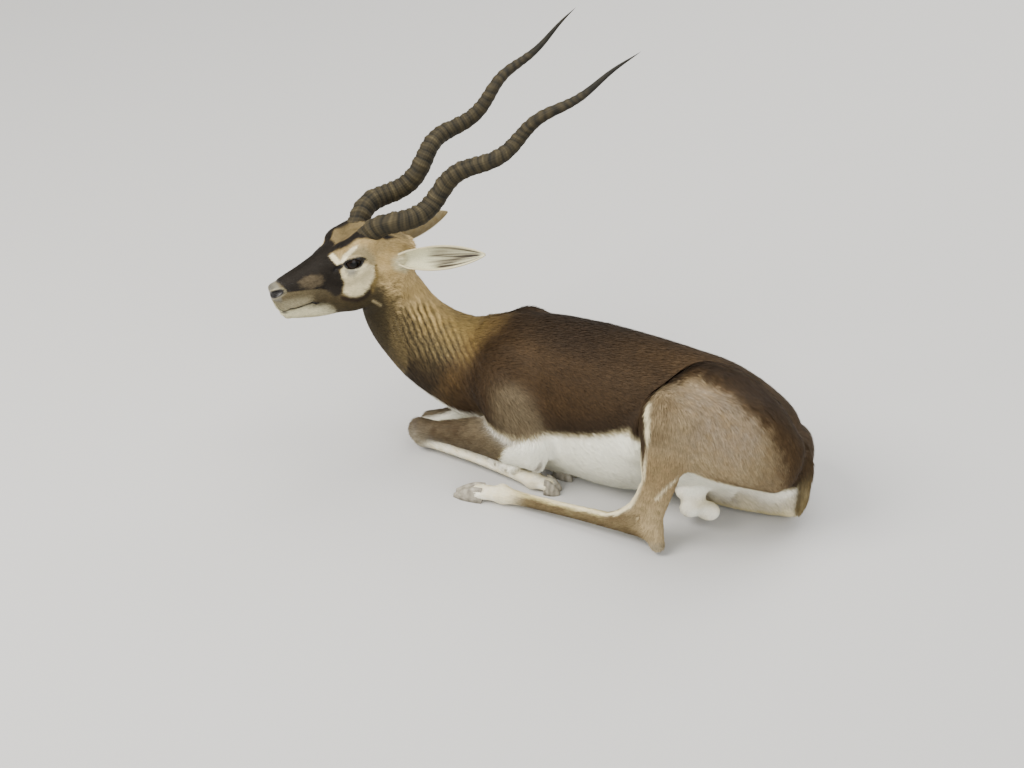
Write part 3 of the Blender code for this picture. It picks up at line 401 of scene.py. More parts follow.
headForms = [
    Limb(muzzleRows, steps=8, fillet=0.012, cap=0.75),
    Limb(jawRows, fillet=0.008, cap=0.9),
    Lump((0.132, 0.024, -0.024), (0.040, 0.019, 0.036), first=(1.0, 0.1, 0.3), fillet=0.016),
    Lump((0.137, 0.0310, 0.048), (0.026, 0.0150, 0.0140), first=(1.0, 0.15, 0.12), fillet=0.018),
    Lump((0.112, 0.0270, 0.018), (0.030, 0.0120, 0.0190), first=(1.0, 0.35, 0.1), fillet=0.014),
    Lump((0.152, 0.0360, 0.026), (0.014, 0.0090, 0.0190), fillet=0.012),
    Lump((0.130, 0.0330, 0.006), (0.026, 0.0110, 0.0120), first=(1.0, 0.1, 0.25), fillet=0.014),
    Lump((0.166, 0.0250, 0.052), (0.024, 0.0200, 0.0180), fillet=0.014),
    Lump((0.194, 0.0310, 0.012), (0.020, 0.0150, 0.0190), fillet=0.014),
    Limb(cheekRows, fillet=0.010, cap=0.7),
    Lump((0.0135, 0.0085, -0.0030), (0.011, 0.0080, 0.0090), fillet=0.006),
]


# Eyelids: half width, rise and thickness of the upper and the lower one, and the slope of the eye's axis
lidSettings = dict(half=0.0180, rises=((0.0100, 0.0036), (-0.0084, 0.0028)), dip=0.0020, proud=0.0008)
mouthRows = (
    (0.006, 0.0000, -0.0405, 0.0024, 0.0024, 0.0050), (0.016, 0.0120, -0.0405, 0.0020, 0.0020, 0.0040),
    (0.034, 0.0200, -0.0385, 0.0018, 0.0018, 0.0040), (0.052, 0.0230, -0.0350, 0.0017, 0.0017, 0.0036),
    (0.062, 0.0240, -0.0315, 0.0014, 0.0014, 0.0026))
nostrilRows = (
    (0.0010, 0.0065, -0.0080, 0.0028, 0.0028, 0.0045), (0.0065, 0.0130, -0.0045, 0.0036, 0.0036, 0.0045),
    (0.0160, 0.0190, -0.0015, 0.0026, 0.0026, 0.0035))


def lidForms():
    s = lidSettings
    x, y, z = eyeCentre
    lids = []
    for rise, thick in s["rises"]:
        rows = []
        for share in np.linspace(-1.0, 1.0, 9):
            ahead = s["half"] * share
            high = rise * (1.0 - share * share) - s["dip"] * share
            depth = max(eyeRadius**2 - ahead**2 - high**2, 0.0055**2) ** 0.5
            rows.append((x + ahead, y + depth + s["proud"], z + high, thick, thick, thick))
        lids.append(Limb(rows, steps=3, fillet=0.004))
    return lids


def headCuts():
    # The eye's socket, nostril, mouth and the gland slit before the eye
    x, y, z = eyeCentre
    return [
        Lump((x, y + 0.0150, z), (0.0180, 0.0130, 0.0095), fillet=0.003),
        Limb(nostrilRows, steps=3, fillet=0.003),
        Limb(mouthRows, steps=3, fillet=0.0025),
        Lump((0.104, 0.0400, 0.022), (0.010, 0.0050, 0.0028), first=(1.0, 0.3, 0.5), fillet=0.003),
    ]


lids = lidForms()
cuts = headCuts()


def headField(points):
    local = toHead(points)
    local[:, 1] = np.abs(local[:, 1])
    value = blended(headForms, local)
    value = merged(carved(value, cuts[:1], local), lids, local)
    return carved(value, cuts[1:], local)


def bodyGroups():
    # The forms of the body, in the groups that colour and hair follow
    groups = {
        "trunk": [Limb(trunkRows, steps=10, fillet=0.001)],
        "neck": [Limb(neckRows, steps=10, fillet=0.035)]}
    for side, sign in (("Left", -1.0), ("Right", 1.0)):
        groups["shoulder" + side] = [
            Lump((0.008, sign * 0.056, 0.166), (0.046, 0.032, 0.076), first=(1.0, 0.0, 0.3), fillet=0.030),
            Lump((0.040, sign * 0.074, 0.130), (0.048, 0.026, 0.048), first=(1.0, 0.0, -0.5), fillet=0.025)]
    groups["croup"] = [
        Lump((0.345, -0.040, 0.222), (0.055, 0.050, 0.034), first=(1.0, -0.2, -0.15), fillet=0.035),
        Lump((0.392, -0.032, 0.162), (0.062, 0.056, 0.052), first=(1.0, -0.1, -0.6), fillet=0.035)]
    groups["haunch"] = [Limb(haunch, fillet=0.022)]
    groups["fold"] = [Limb(flankFold, fillet=0.030)]
    groups["inner"] = [Limb(innerThigh, fillet=0.020)]
    for side in ("left", "right"):
        for name, forms in foreLegForms(foreLegs[side]).items():
            groups[name + "Fore" + side.title()] = forms
        for name, forms in hindLegForms(hindLegs[side], side).items():
            groups[name + "Hind" + side.title()] = forms
    groups["tail"] = [Limb(tailRows, up=(1.0, 0.0, 0.0), fillet=0.006)]
    groups["scrotum"] = [Lump(*lobe, fillet=0.005) for lobe in scrotumLobes]
    return {name: forms for name, forms in groups.items() if forms}


groups = bodyGroups()
bodyForms = [form for forms in groups.values() for form in forms]

# How deep the skin lies under the solids' surface, which the coat's tips reach
coatDepth = dict(body=0.0040, leg=0.0018, face=0.0014, bare=0.0004)


def depthAt(points):
    local = toHead(points)
    ahead, wide, high = local[:, 0], np.abs(local[:, 1]), local[:, 2]
    depth = np.full(len(points), coatDepth["body"])
    lowLegs = [form for name, forms in groups.items() for form in forms
               if name.startswith(("cannon", "foot", "forearm", "gaskin"))]
    low = ramp(0.060, 0.030, points[:, 2]) * ramp(0.02, 0.008, blended(lowLegs, points))
    depth = depth + (coatDepth["leg"] - depth) * low
    face = ramp(0.235, 0.185, ahead)
    depth = depth + (coatDepth["face"] - depth) * face
    eye = np.sqrt((ahead - eyeCentre[0]) ** 2 + (high - eyeCentre[2]) ** 2)
    bare = np.maximum(ramp(0.030, 0.020, eye) * (wide > 0.015), ramp(0.030, 0.018, ahead)) * face
    return depth + (coatDepth["bare"] - depth) * bare


def surfaceValue(points):
    return smoothMin(blended(bodyForms, points), headField(points), usualFillet)


def valuesOf(data, key, width=3):
    out = np.empty(len(data) * width, np.float32)
    data.foreach_get(key, out)
    return out.reshape(-1, width).astype(float)


def placesOf(mesh):
    return valuesOf(mesh.vertices, "co")


def normalsOf(mesh):
    return valuesOf(mesh.vertex_normals, "vector")


def setPlaces(mesh, places):
    mesh.vertices.foreach_set("co", places.astype(np.float32).ravel())
    mesh.update()


def changed(mesh, change):
    # Runs a function on the mesh's editable form
    edit = bmesh.new()
    edit.from_mesh(mesh)
    change(edit)
    edit.to_mesh(mesh)
    edit.free()
    mesh.update()


def meshFrom(edit, name, closed=False):
    if closed:
        bmesh.ops.recalc_face_normals(edit, faces=edit.faces)
    mesh = bpy.data.meshes.new(name)
    edit.to_mesh(mesh)
    edit.free()
    return mesh


# The skin's first mesh, its longest step toward the surface and its gap over the floor, the height, spacing and
# direction of the neck's folds, and how far round the nose and eyes its mesh is finer
skinSettings = dict(
    voxel=0.0050, step=0.005, floorGap=0.0012, neckRipple=0.0014, ripplePeriod=0.0088,
    rippleAcross=(0.754, 0.568, 0.327), fineHead=0.245, finestNose=0.068, finestEye=0.036,
)


def onSkin(mesh, rounds):
    # Moves the points along their normals onto the skin's surface
    depth = depthAt(placesOf(mesh))
    for _ in range(rounds):
        places = placesOf(mesh)
        move = np.clip(surfaceValue(places) + depth, -skinSettings["step"], skinSettings["step"])
        places = places - move[:, None] * normalsOf(mesh)
        places[:, 2] = np.maximum(places[:, 2], skinSettings["floorGap"])
        setPlaces(mesh, places)


def eased(mesh, factor):
    changed(mesh, lambda edit: bmesh.ops.smooth_vert(
        edit, verts=edit.verts, factor=factor, use_axis_x=True, use_axis_y=True, use_axis_z=True))


def newObject(name, mesh):
    made = bpy.data.objects.new(name, mesh)
    bpy.context.scene.collection.objects.link(made)
    return made


def evaluated(obj, name):
    # A plain mesh as the object's modifiers leave it
    bpy.context.view_layer.update()
    graph = bpy.context.evaluated_depsgraph_get()
    final = obj.evaluated_get(graph)
    mesh = bpy.data.meshes.new_from_object(final, preserve_all_data_layers=True, depsgraph=graph)
    mesh.name = name
    return mesh


def remeshed(mesh, voxel):
    holder = newObject("holder", mesh)
    modifier = holder.modifiers.new("step", "REMESH")
    modifier.mode = "VOXEL"
    modifier.voxel_size = voxel
    out = evaluated(holder, "remeshed")
    bpy.data.objects.remove(holder)
    return out


def formTubes():
    # Every form as a loft, the head's ones on both sides
    tubes = bmesh.new()
    for form in bodyForms:
        form.addTube(tubes)
    place = Matrix.Translation(noseTip) @ Matrix(axes.T.tolist()).to_4x4()
    for flip in (1.0, -1.0):
        half = bmesh.new()
        for form in headForms:
            form.addTube(half, sides=20)
        bmesh.ops.transform(half, matrix=place @ Matrix.Diagonal((1.0, flip, 1.0, 1.0)), verts=half.verts)
        tubes.from_mesh(meshFrom(half, "half"))
    return meshFrom(tubes, "tubes", closed=True)




def refine(edit, wanted):
    # Splits the faces around the wanted points once
    verts = [vert for vert, want in zip(edit.verts, wanted) if want]
    chosen = set(verts)
    edges = [edge for edge in edit.edges if edge.verts[0] in chosen and edge.verts[1] in chosen]
    bmesh.ops.subdivide_edges(edit, edges=edges, cuts=1, use_grid_fill=True)


def neckZone(places):
    neck = groups["neck"][0].distance(places)
    behind = toHead(places)[:, 0]
    return (neck < 0.012) & (behind > 0.17) & (places[:, 0] < -0.02)


def editPlaces(edit):
    return np.array([vert.co[:] for vert in edit.verts], float)


def refineSkin(edit):
    # Finer points on the head and the folded neck, and finer again round the eyes and nose
    places = editPlaces(edit)
    refine(edit, (toHead(places)[:, 0] < skinSettings["fineHead"]) | neckZone(places))
    edit.verts.ensure_lookup_table()
    local = toHead(editPlaces(edit))
    eye = np.linalg.norm((local[:, [0, 2]] - (0.130, 0.020)), axis=1)
    nose = local[:, 0] < skinSettings["finestNose"]
    eye = (eye < skinSettings["finestEye"]) & (np.abs(local[:, 1]) > 0.012)
    refine(edit, (local[:, 0] < 0.24) & (nose | eye))
    bmesh.ops.triangulate(edit, faces=[face for face in edit.faces if len(face.verts) > 4])


def makeSkinMesh():
    mesh = remeshed(formTubes(), skinSettings["voxel"])
    onSkin(mesh, 2)
    eased(mesh, 0.5)
    changed(mesh, refineSkin)
    onSkin(mesh, 2)
    eased(mesh, 0.4)
    onSkin(mesh, 1)
    eased(mesh, 0.3)
    return mesh


foldBand = ((-0.155, -0.048, 0.232), (-0.100, -0.058, 0.205), (-0.045, -0.070, 0.180))


def rippleAt(places):
    # The fine folds across the lower neck: strength and height
    folded = np.stack([places[:, 0], -np.abs(places[:, 1] + 0.005), places[:, 2]], 1)
    strength = ramp(0.056, 0.026, lineDistance(folded, foldBand))
    across = folded @ unit(np.array(skinSettings["rippleAcross"])) + 0.0012 * mottle(places, 0.03, 3)
    wave = np.sin(2 * math.pi * across / skinSettings["ripplePeriod"])
    return strength, strength * (0.75 + 0.25 * mottle(places, 0.02, 5)) * wave


def mottle(places, size, seed):
    # Smooth noise of about -1 to 1, from a few turned waves
    draw = np.random.default_rng(seed)
    out = np.zeros(len(places))
    for _ in range(9):
        direction = unit(draw.normal(size=3)) * draw.uniform(0.6, 1.5) * 2 * math.pi / size
        bend = unit(draw.normal(size=3)) * 1.3 * math.pi / size
        start = draw.uniform(0, 6.28)
        out += np.sin(places @ direction + start + 1.5 * np.sin(places @ bend + draw.uniform(0, 6.28)))
    return out / 4.0


# Colours of the coat, as seen in soft daylight
coatColours = dict(
    chocolate=(57, 42, 24), deepBrown=(38, 28, 18), warmBrown=(76, 58, 35), rust=(104, 80, 45),
    tan=(188, 163, 114), ochre=(148, 125, 76), umber=(110, 92, 52), greyBrown=(98, 86, 65),
    greyTan=(120, 106, 74), black=(31, 26, 20), worn=(96, 84, 64), cream=(236, 224, 186),
    white=(252, 248, 232), patch=(210, 198, 158), pale=(194, 182, 144), brow=(158, 143, 106),
    lipGrey=(131, 123, 97), muzzle=(100, 89, 64), nosePale=(112, 107, 92), noseGrey=(92, 88, 76),
    nostril=(16, 12, 11), lid=(17, 13, 11), chin=(206, 199, 164), straw=(188, 174, 122),
    thighGrey=(134, 120, 101), thighTan=(142, 126, 96), gaskinTan=(136, 115, 82), hockTan=(176, 156, 118),
    smoke=(138, 133, 116), jaw=(60, 51, 32), throat=(84, 72, 46), crown=(124, 108, 74),
    earPale=(212, 208, 172), lilac=(170, 160, 142),
)


def shade(name):
    value = np.array(coatColours[name], float) / 255.0
    return np.where(value <= 0.04045, value / 12.92, ((value + 0.055) / 1.055) ** 2.4)


def paint(colours, mask, name):
    mask = np.clip(mask, 0.0, 1.0)[:, None]
    return colours * (1 - mask) + shade(name) * mask


def layered(places, base, *layers):
    # Colours over a base, each by its amount; a layer with no colour's name scales what lies under it
    colours = np.tile(shade(base), (len(places), 1)) if isinstance(base, str) else base
    for amount, name in layers:
        colours = paint(colours, amount, name) if name else colours * amount[:, None]
    return colours


def outlineDistance(points, corners):
    # Signed distance to a closed outline, negative inside
    corners = np.array(corners, float)
    nearest = np.full(len(points), 1e9)
    inside = np.zeros(len(points), bool)
    for a, b in zip(corners, np.roll(corners, -1, 0)):
        along, away = b - a, points - a
        share = np.clip((away @ along) / max(along @ along, 1e-12), 0.0, 1.0)
        nearest = np.minimum(nearest, ((away - share[:, None] * along) ** 2).sum(1))
        crosses = (a[1] > points[:, 1]) != (b[1] > points[:, 1])
        slope = along[0] / (along[1] if abs(along[1]) > 1e-12 else 1e-12)
        inside ^= crosses & (points[:, 0] < a[0] + (points[:, 1] - a[1]) * slope)
    return np.where(inside, -1.0, 1.0) * np.sqrt(nearest)


def lineDistance(points, line):
    line = np.array(line, float)
    nearest = np.full(len(points), 1e9)
    for a, b in zip(line, line[1:]):
        along, away = b - a, points - a
        share = np.clip((away @ along) / (along @ along), 0.0, 1.0)
        nearest = np.minimum(nearest, ((away - share[:, None] * along) ** 2).sum(1))
    return np.sqrt(nearest)


# Face markings on a chart: centimetres back from the nose, degrees up from the head's middle line
degreeWidth = 0.065
faceAxisBack = (1.5, 3.2, 6, 9, 11.5, 14, 17, 20, 22.4)
faceAxisHigh = (-1.2, -0.8, 0, 1.0, 1.8, 2.2, 2.2, 1.4, 0.6)
facePatches = (
    ("jaw", 0.70, ((4.8, -48), (7, -45), (9.6, -48), (12.5, -47), (15.0, -46), (17.0, -53), (18, -95),
        (4.8, -95))),
    ("chin", 0.50, ((-2, -60), (2.6, -56), (4.2, -57), (5.6, -62), (7.4, -67), (9.2, -72), (10.2, -95),
        (-2, -95))),
    ("lipGrey", 0.90, ((-2, -18), (2.4, -20), (3.6, -30), (5.1, -44), (5.8, -53), (3.4, -58), (-2, -64))),
    ("black", 0.16, ((1.5, 100), (1.6, 84), (2.4, 18), (4.2, -2), (6.0, -24), (7.3, -38), (8.4, -48),
        (9.7, -53), (10.6, -46), (11.0, -33), (10.8, -4), (10.4, 18), (9.9, 38), (9.9, 55), (11.4, 72),
        (11.6, 100))),
    ("black", 0.20, ((9.4, 62), (10.4, 55), (11.5, 43), (12.6, 41), (14.3, 46), (15.9, 41), (17.5, 38),
        (19.5, 46), (20.6, 56), (18.0, 78), (15.5, 68), (12.5, 57), (11.4, 70), (9.4, 78))),
    ("brow", 0.45, ((11.6, 30), (13.9, 35), (15.2, 32), (16.6, 8), (16.6, -14), (15.4, -6), (14.2, 6),
        (12.8, 16), (11.6, 20))),
    ("patch", 0.18, ((11.0, 4), (11.5, 9), (13.0, 2), (15.4, -4), (16.3, -14), (15.9, -34), (14.9, -45),
        (13.4, -52), (11.7, -51), (10.8, -46), (11.1, -28), (10.8, -8))),
    ("cream", 0.12, ((9.9, 50), (10.45, 51), (10.95, 32), (11.2, 18), (10.85, 12), (10.35, 22), (10.05, 34))),
    ("cream", 0.12, ((11.1, 20), (11.7, 30), (13.0, 36), (14.1, 36), (14.0, 31), (12.4, 24), (11.6, 14))),
    ("smoke", 0.35, ((11.6, 0), (12.8, 0), (13.6, -10), (12.8, -17), (11.9, -13))),
)
wornPatch = ((4.6, 36), (6.1, 38), (7.9, 12), (8.0, -26), (6.2, -22), (4.8, 6))
faceLines = (
    ("deepBrown", 0.04, 0.26, ((10.4, -52), (12.6, -55), (14.3, -54), (15.3, -48))),
    ("umber", 0.04, 0.34, ((16.6, -14), (16.4, -32), (15.6, -44), (15.3, -50))),
    ("brow", 0.03, 0.14, ((15.2, -62), (15.9, -66), (16.5, -69))),
    ("nostril", 0.05, 0.13, ((0.4, -67), (1.3, -61), (2.6, -55), (4.2, -54), (5.6, -56.5), (6.8, -59))),
)


def faceColours(places, normals):
    local = toHead(places) * 100.0
    back, wide, high = local[:, 0], np.abs(local[:, 1]), local[:, 2]
    mirrored = np.stack([back, wide, high], 1)
    angle = np.degrees(np.arctan2(high - np.interp(back, faceAxisBack, faceAxisHigh), wide))
    chart = np.stack([back, angle * degreeWidth], 1)
    onChart = lambda marks: [(x, a * degreeWidth) for x, a in marks]
    ragged = 0.10 * mottle(places, 0.006, 11)
    blotch = mottle(places, 0.016, 13)
    below = belowNeckLine(places) + 0.006 * blotch
    layers = [
        (0.35 + 0.35 * mottle(places, 0.03, 12), "ochre"),
        (ramp(50, 68, angle) * ramp(10.5, 12, back) * 0.9, "crown"),
        (ramp(0.5, 1.3, blotch) * ramp(14.5, 16.5, back) * 0.35, "umber"),
        (ramp(-0.014, 0.012, below) * ramp(11.5, 14.5, back) * 0.95, "throat"),
        (ramp(12.0, 9.5, back), "muzzle")]
    for name, soft, corners in facePatches:
        away = outlineDistance(chart, onChart(corners)) + ragged * (soft + 0.1)
        layers.append((ramp(soft, -soft, away), name))
    scuffed = outlineDistance(chart, onChart(wornPatch)) + 0.25 * mottle(places, 0.008, 14)
    layers.append((ramp(0.55, -0.45, scuffed) * (0.80 + 0.25 * mottle(places, 0.005, 15)), "worn"))
    for name, thick, soft, line in faceLines:
        layers.append((ramp(thick + soft, thick, lineDistance(chart, onChart(line))), name))
    layers.append((1.0 + 0.06 * mottle(places, 0.006, 16) * ramp(10.0, 11.0, back), None))
    # Nose pad, its pale rim, the nostrils and mouth, dark lid margins, the gland slit and the ear's root
    socket, nostril, mouth, slit = (form.distance(mirrored / 100.0) * 100.0 for form in cuts)
    above = ramp(2.3, 2.8, high)
    margin = above * ramp(0.26, 0.12, socket) + (1.0 - above) * ramp(0.0, -0.14, socket)
    earRoot = np.linalg.norm(mirrored - (20.4, 4.8, 0.9), axis=1)
    layers += [
        (ramp(1.75, 1.35, back) * ramp(-34, -18, angle), "nosePale"),
        (ramp(1.2, 0.6, back) * ramp(-30, -10, angle), "noseGrey"),
        (ramp(0.58, 0.44, nostril) * 0.8, "lipGrey"),
        (ramp(0.36, 0.20, nostril), "nostril"),
        (ramp(0.12, 0.0, mouth), "nostril"),
        (margin * (wide > 2.6), "lid"),
        (ramp(0.35, 0.10, slit), "nostril"),
        (ramp(2.0, 1.1, earRoot) * 0.8, "earPale")]
    return layered(places, "tan", *layers)


bellyLine = ((-0.20, 0.125), (-0.15, 0.107), (-0.111, 0.095), (-0.08, 0.095), (-0.04, 0.102), (0.04, 0.112),
             (0.093, 0.120), (0.14, 0.135), (0.183, 0.151), (0.225, 0.165), (0.30, 0.172), (0.38, 0.120),
             (0.44, 0.075), (0.50, 0.060))
neckLine = ((-0.30, 0.420), (-0.208, 0.330), (-0.189, 0.289), (-0.180, 0.269), (-0.156, 0.238), (-0.114, 0.212),
            (-0.071, 0.198), (-0.02, 0.198))
thighEdge = ((0.254, -0.065, 0.234), (0.283, -0.085, 0.270), (0.305, -0.050, 0.279), (0.329, -0.045, 0.284),
             (0.366, -0.044, 0.276), (0.397, -0.040, 0.262), (0.425, -0.036, 0.246), (0.450, -0.032, 0.224),
             (0.472, -0.032, 0.192), (0.489, -0.030, 0.150), (0.490, -0.020, 0.100))
legLine = ((0.281, -0.150, 0.268), (0.284, -0.172, 0.246), (0.283, -0.175, 0.214), (0.278, -0.167, 0.142),
           (0.267, -0.161, 0.103), (0.256, -0.159, 0.073), (0.236, -0.156, 0.052), (0.212, -0.151, 0.040),
           (0.169, -0.147, 0.034), (0.121, -0.142, 0.031), (0.071, -0.136, 0.028))
creaseLine = ((0.303, -0.168, 0.108), (0.319, -0.166, 0.132), (0.334, -0.157, 0.147), (0.352, -0.146, 0.155),
              (0.366, -0.150, 0.160))
# A dark brown line in the crease between the elbow and the belly: painted shade
elbowCreaseShade = ((0.094, -0.099, 0.104), (0.090, -0.101, 0.080), (0.080, -0.104, 0.054))


def trunkColours(places, normals):
    x, y, z = places.T
    soft = mottle(places, 0.012, 21)
    line = np.interp(x, *zip(*bellyLine))
    line = line - 0.075 * ramp(0.0, 0.05, y) * ramp(0.14, 0.28, x)
    return layered(
        places, "chocolate",
        (ramp(0.16, 0.28, x) * (0.15 + 0.25 * mottle(places, 0.07, 22)), "warmBrown"),
        (ramp(0.10, -0.04, x) * ramp(0.16, 0.22, z) * (0.5 + 0.3 * mottle(places, 0.05, 23)), "warmBrown"),
        (ramp(0.235, 0.262, z) * ramp(0.26, 0.10, x) * 0.8, "deepBrown"),
        (1.0 + 0.07 * mottle(places, 0.030, 24) + 0.05 * mottle(places, 0.009, 25), None),
        (ramp(0.060, 0.010, z - line) * 0.75, "deepBrown"),
        (ramp(0.012, 0.002, z - line + 0.0015 * soft) * 0.8, "pale"),
        (ramp(0.004, -0.003, z - line + 0.0015 * soft), "white"))


def belowNeckLine(places):
    # How far a point lies into the grizzled front of the neck, in metres
    line = np.interp(places[:, 0], *zip(*neckLine))
    away = lineDistance(places[:, [0, 2]], neckLine)
    return np.where(places[:, 2] < line, away, -away)


def neckColours(places, normals):
    x, y, z = places.T
    lower = ramp(0.330, 0.235, z)
    blotch = mottle(places, 0.012, 35)
    below = belowNeckLine(places) + 0.009 * mottle(places, 0.020, 32)
    strength, wave = rippleAt(places)
    chest = ramp(-0.150, -0.085, x) * ramp(0.196, 0.172, z + 0.12 * (x + 0.05))
    toBody = x - 0.55 * (z - 0.20) + 0.007 * mottle(places, 0.02, 33)
    brisket = np.interp(x, *zip(*bellyLine))
    return layered(
        places, "tan",
        (0.25 + 0.55 * lower + 0.3 * mottle(places, 0.04, 31), "ochre"),
        (ramp(-0.165, -0.095, x + 0.010 * mottle(places, 0.03, 36)) * 0.9, "umber"),
        (ramp(0.262, 0.205, z) * 0.65, "umber"),
        (1.0 + 0.09 * blotch, None),
        (ramp(-0.020, 0.014, below), "throat"),
        (ramp(0.012, 0.070, below) * ramp(0.30, 0.20, z) * 0.7, "deepBrown"),
        (ramp(0.195, 0.145, z) * 0.6, "deepBrown"),
        # Painted light and shade on the neck's folds: the coat is lightened on their crests and darkened in
        # their troughs
        (np.maximum(1.0 + 0.95 * wave, 0.25), None),
        (chest * 0.8, "deepBrown"),
        (ramp(-0.110, -0.062, toBody) * 0.4, "rust"),
        (ramp(-0.074, -0.036, toBody), "chocolate"),
        (ramp(0.005, -0.004, z - brisket + 0.002 * mottle(places, 0.01, 34)), "white"))


def shoulderColours(places, normals):
    x, y, z = places.T
    rear = x - (0.081 - 0.385 * (z - 0.13)) + 0.003 * mottle(places, 0.015, 43)
    grey = ramp(-0.020, 0.012, x + 0.004 * mottle(places, 0.02, 44))
    grey = grey * ramp(0.208, 0.182, z) * ramp(0.006, -0.004, rear)
    line = 0.110 + 0.30 * np.maximum(x - 0.04, 0.0) + 0.0015 * mottle(places, 0.012, 42)
    return layered(
        places, "chocolate",
        (grey * (0.75 + 0.15 * mottle(places, 0.03, 41)), "greyBrown"),
        (ramp(0.0, -0.05, x) * 0.5, "deepBrown"),
        (ramp(0.012, 0.002, z - line) * 0.7, "pale"),
        (ramp(0.004, -0.003, z - line), "white"))


def forearmColours(places, normals):
    x, y, z = places.T
    edge = np.interp(x, (-0.15, 0.0, 0.012, 0.030, 0.055, 0.10), (0.022, 0.026, 0.040, 0.085, 0.116, 0.122))
    under = z - edge + 0.0015 * mottle(places, 0.01, 52)
    inner = np.where(y < -0.05, normals[:, 1], -normals[:, 1])
    return layered(
        places, "greyBrown",
        (ramp(0.01, -0.09, x) * 0.6 + 0.25 * mottle(places, 0.02, 51), "chocolate"),
        (ramp(0.008, 0.001, under) * 0.7, "straw"),
        (ramp(0.003, -0.003, under), "white"),
        (ramp(0.35, 0.7, inner), "white"),
        # Painted shade: a dark brown line along the crease between the elbow and the belly
        (ramp(0.006, 0.002, lineDistance(places, elbowCreaseShade)) * 0.75, "warmBrown"))


def foreCannonColours(places, normals):
    x, y, z = places.T
    return layered(
        places, "cream",
        (0.55 + 0.35 * mottle(places, 0.02, 61), "white"),
        (ramp(-0.120, -0.148, x) * ramp(0.2, -0.4, normals[:, 2]) * 0.8, "greyBrown"))


def aheadOfLeg(places):
    # The flank before the thigh's pale front line
    x, y, z = places.T
    line = np.interp(z, (0.03, 0.10, 0.14, 0.21, 0.25, 0.27), (0.200, 0.267, 0.278, 0.283, 0.284, 0.281))
    return ramp(-0.002, 0.003, line - x) * ramp(0.12, 0.16, z) * ramp(-0.080, -0.100, y)


def thighColours(places, normals):
    x, y, z = places.T
    centre = lineDistance(places, ((0.330, -0.130, 0.240), (0.370, -0.100, 0.262), (0.400, -0.110, 0.225)))
    edge = lineDistance(places, thighEdge) + 0.003 * mottle(places, 0.02, 72)
    wide = np.interp(x, (0.28, 0.34, 0.40, 0.46), (0.022, 0.034, 0.054, 0.060))
    edge = edge + 0.008 * mottle(places, 0.012, 74)
    rear = ramp(0.405, 0.470, x + 0.3 * (0.17 - z) + 0.010 * mottle(places, 0.015, 76))
    return layered(
        places, "thighTan",
        (ramp(0.075, 0.020, centre) * (0.85 + 0.15 * mottle(places, 0.03, 71)), "thighGrey"),
        (0.25 + 0.35 * mottle(places, 0.018, 75), "gaskinTan"),
        (ramp(1.20, 0.60, edge / wide), "warmBrown"),
        (ramp(0.95, 0.45, edge / wide), "chocolate"),
        (ramp(0.55, 0.20, edge / wide) * 0.7, "deepBrown"),
        (rear * 0.45, "warmBrown"),
        (ramp(0.10, 0.45, normals[:, 1]) * ramp(0.16, 0.20, z), "chocolate"),
        (1.0 + 0.07 * mottle(places, 0.010, 78) + 0.05 * mottle(places, 0.030, 79), None),
        (aheadOfLeg(places), "chocolate"))


def nearThighColours(places, normals):
    x, y, z = places.T
    under = z - np.interp(x, (0.30, 0.364, 0.406, 0.456, 0.49), (0.143, 0.146, 0.122, 0.087, 0.066))
    shadow = ramp(0.030, 0.010, lineDistance(places, ((0.300, -0.155, 0.262), (0.304, -0.170, 0.225))))
    return layered(
        places, thighColours(places, normals),
        (ramp(0.030, 0.006, under) * ramp(0.36, 0.40, x) * 0.6, "warmBrown"),
        (ramp(0.006, -0.004, under + 0.0015 * mottle(places, 0.01, 73)) * (x > 0.335), "patch"),
        (ramp(0.003, -0.003, np.abs(under) - 0.002) * ramp(0.325, 0.335, x) * ramp(0.405, 0.385, x), "cream"),
        (shadow * (0.75 + 0.3 * mottle(places, 0.012, 77)), "warmBrown"),
        (aheadOfLeg(places), "chocolate"),
        (ramp(0.0055, 0.0030, lineDistance(places, legLine)), "cream"),
        (ramp(0.0048, 0.0022, lineDistance(places, creaseLine)) * 0.8, "cream"))


def gaskinColours(places, normals):
    x, y, z = places.T
    front = ramp(0.45, 0.68, -normals[:, 0] + 0.2 * normals[:, 1]) * ramp(0.30, 0.285, x)
    front = front * ramp(0.19, 0.16, z) * ramp(0.050, 0.065, z)
    front = np.maximum(front, ramp(0.0065, 0.0030, lineDistance(places, legLine)))
    tip = np.linalg.norm(places - (0.303, -0.168, 0.014), axis=1)
    return layered(
        places, "gaskinTan",
        (ramp(0.15, 0.06, z) * 0.8, "hockTan"),
        (0.20 + 0.25 * mottle(places, 0.02, 81), "greyTan"),
        (ramp(0.27, 0.24, x) * ramp(0.10, 0.05, z) * 0.75, "warmBrown"),
        (ramp(0.17, 0.215, z) * 0.7, "thighTan"),
        (aheadOfLeg(places), "chocolate"),
        (front, "cream"),
        (ramp(0.0048, 0.0022, lineDistance(places, creaseLine)) * 0.8, "cream"),
        (ramp(0.3, 0.65, normals[:, 1]) * ramp(0.045, 0.075, z), "patch"),
        (ramp(0.022, 0.010, tip) * 0.5, "smoke"))


def hindCannonColours(places, normals):
    x, y, z = places.T
    top = normals[:, 2] + 0.45 * normals[:, 1] + 0.12 * mottle(places, 0.012, 91)
    return layered(
        places, "greyTan",
        (0.45 + 0.3 * mottle(places, 0.02, 92), "warmBrown"),
        (ramp(0.35, 0.75, top) * ramp(0.260, 0.225, x), "straw"),
        (ramp(0.0060, 0.0030, lineDistance(places, legLine)), "cream"),
        (ramp(0.085, 0.040, x), "cream"))


def footColours(places, normals):
    return layered(places, "white", (0.45 + 0.4 * mottle(places, 0.015, 95), "cream"))


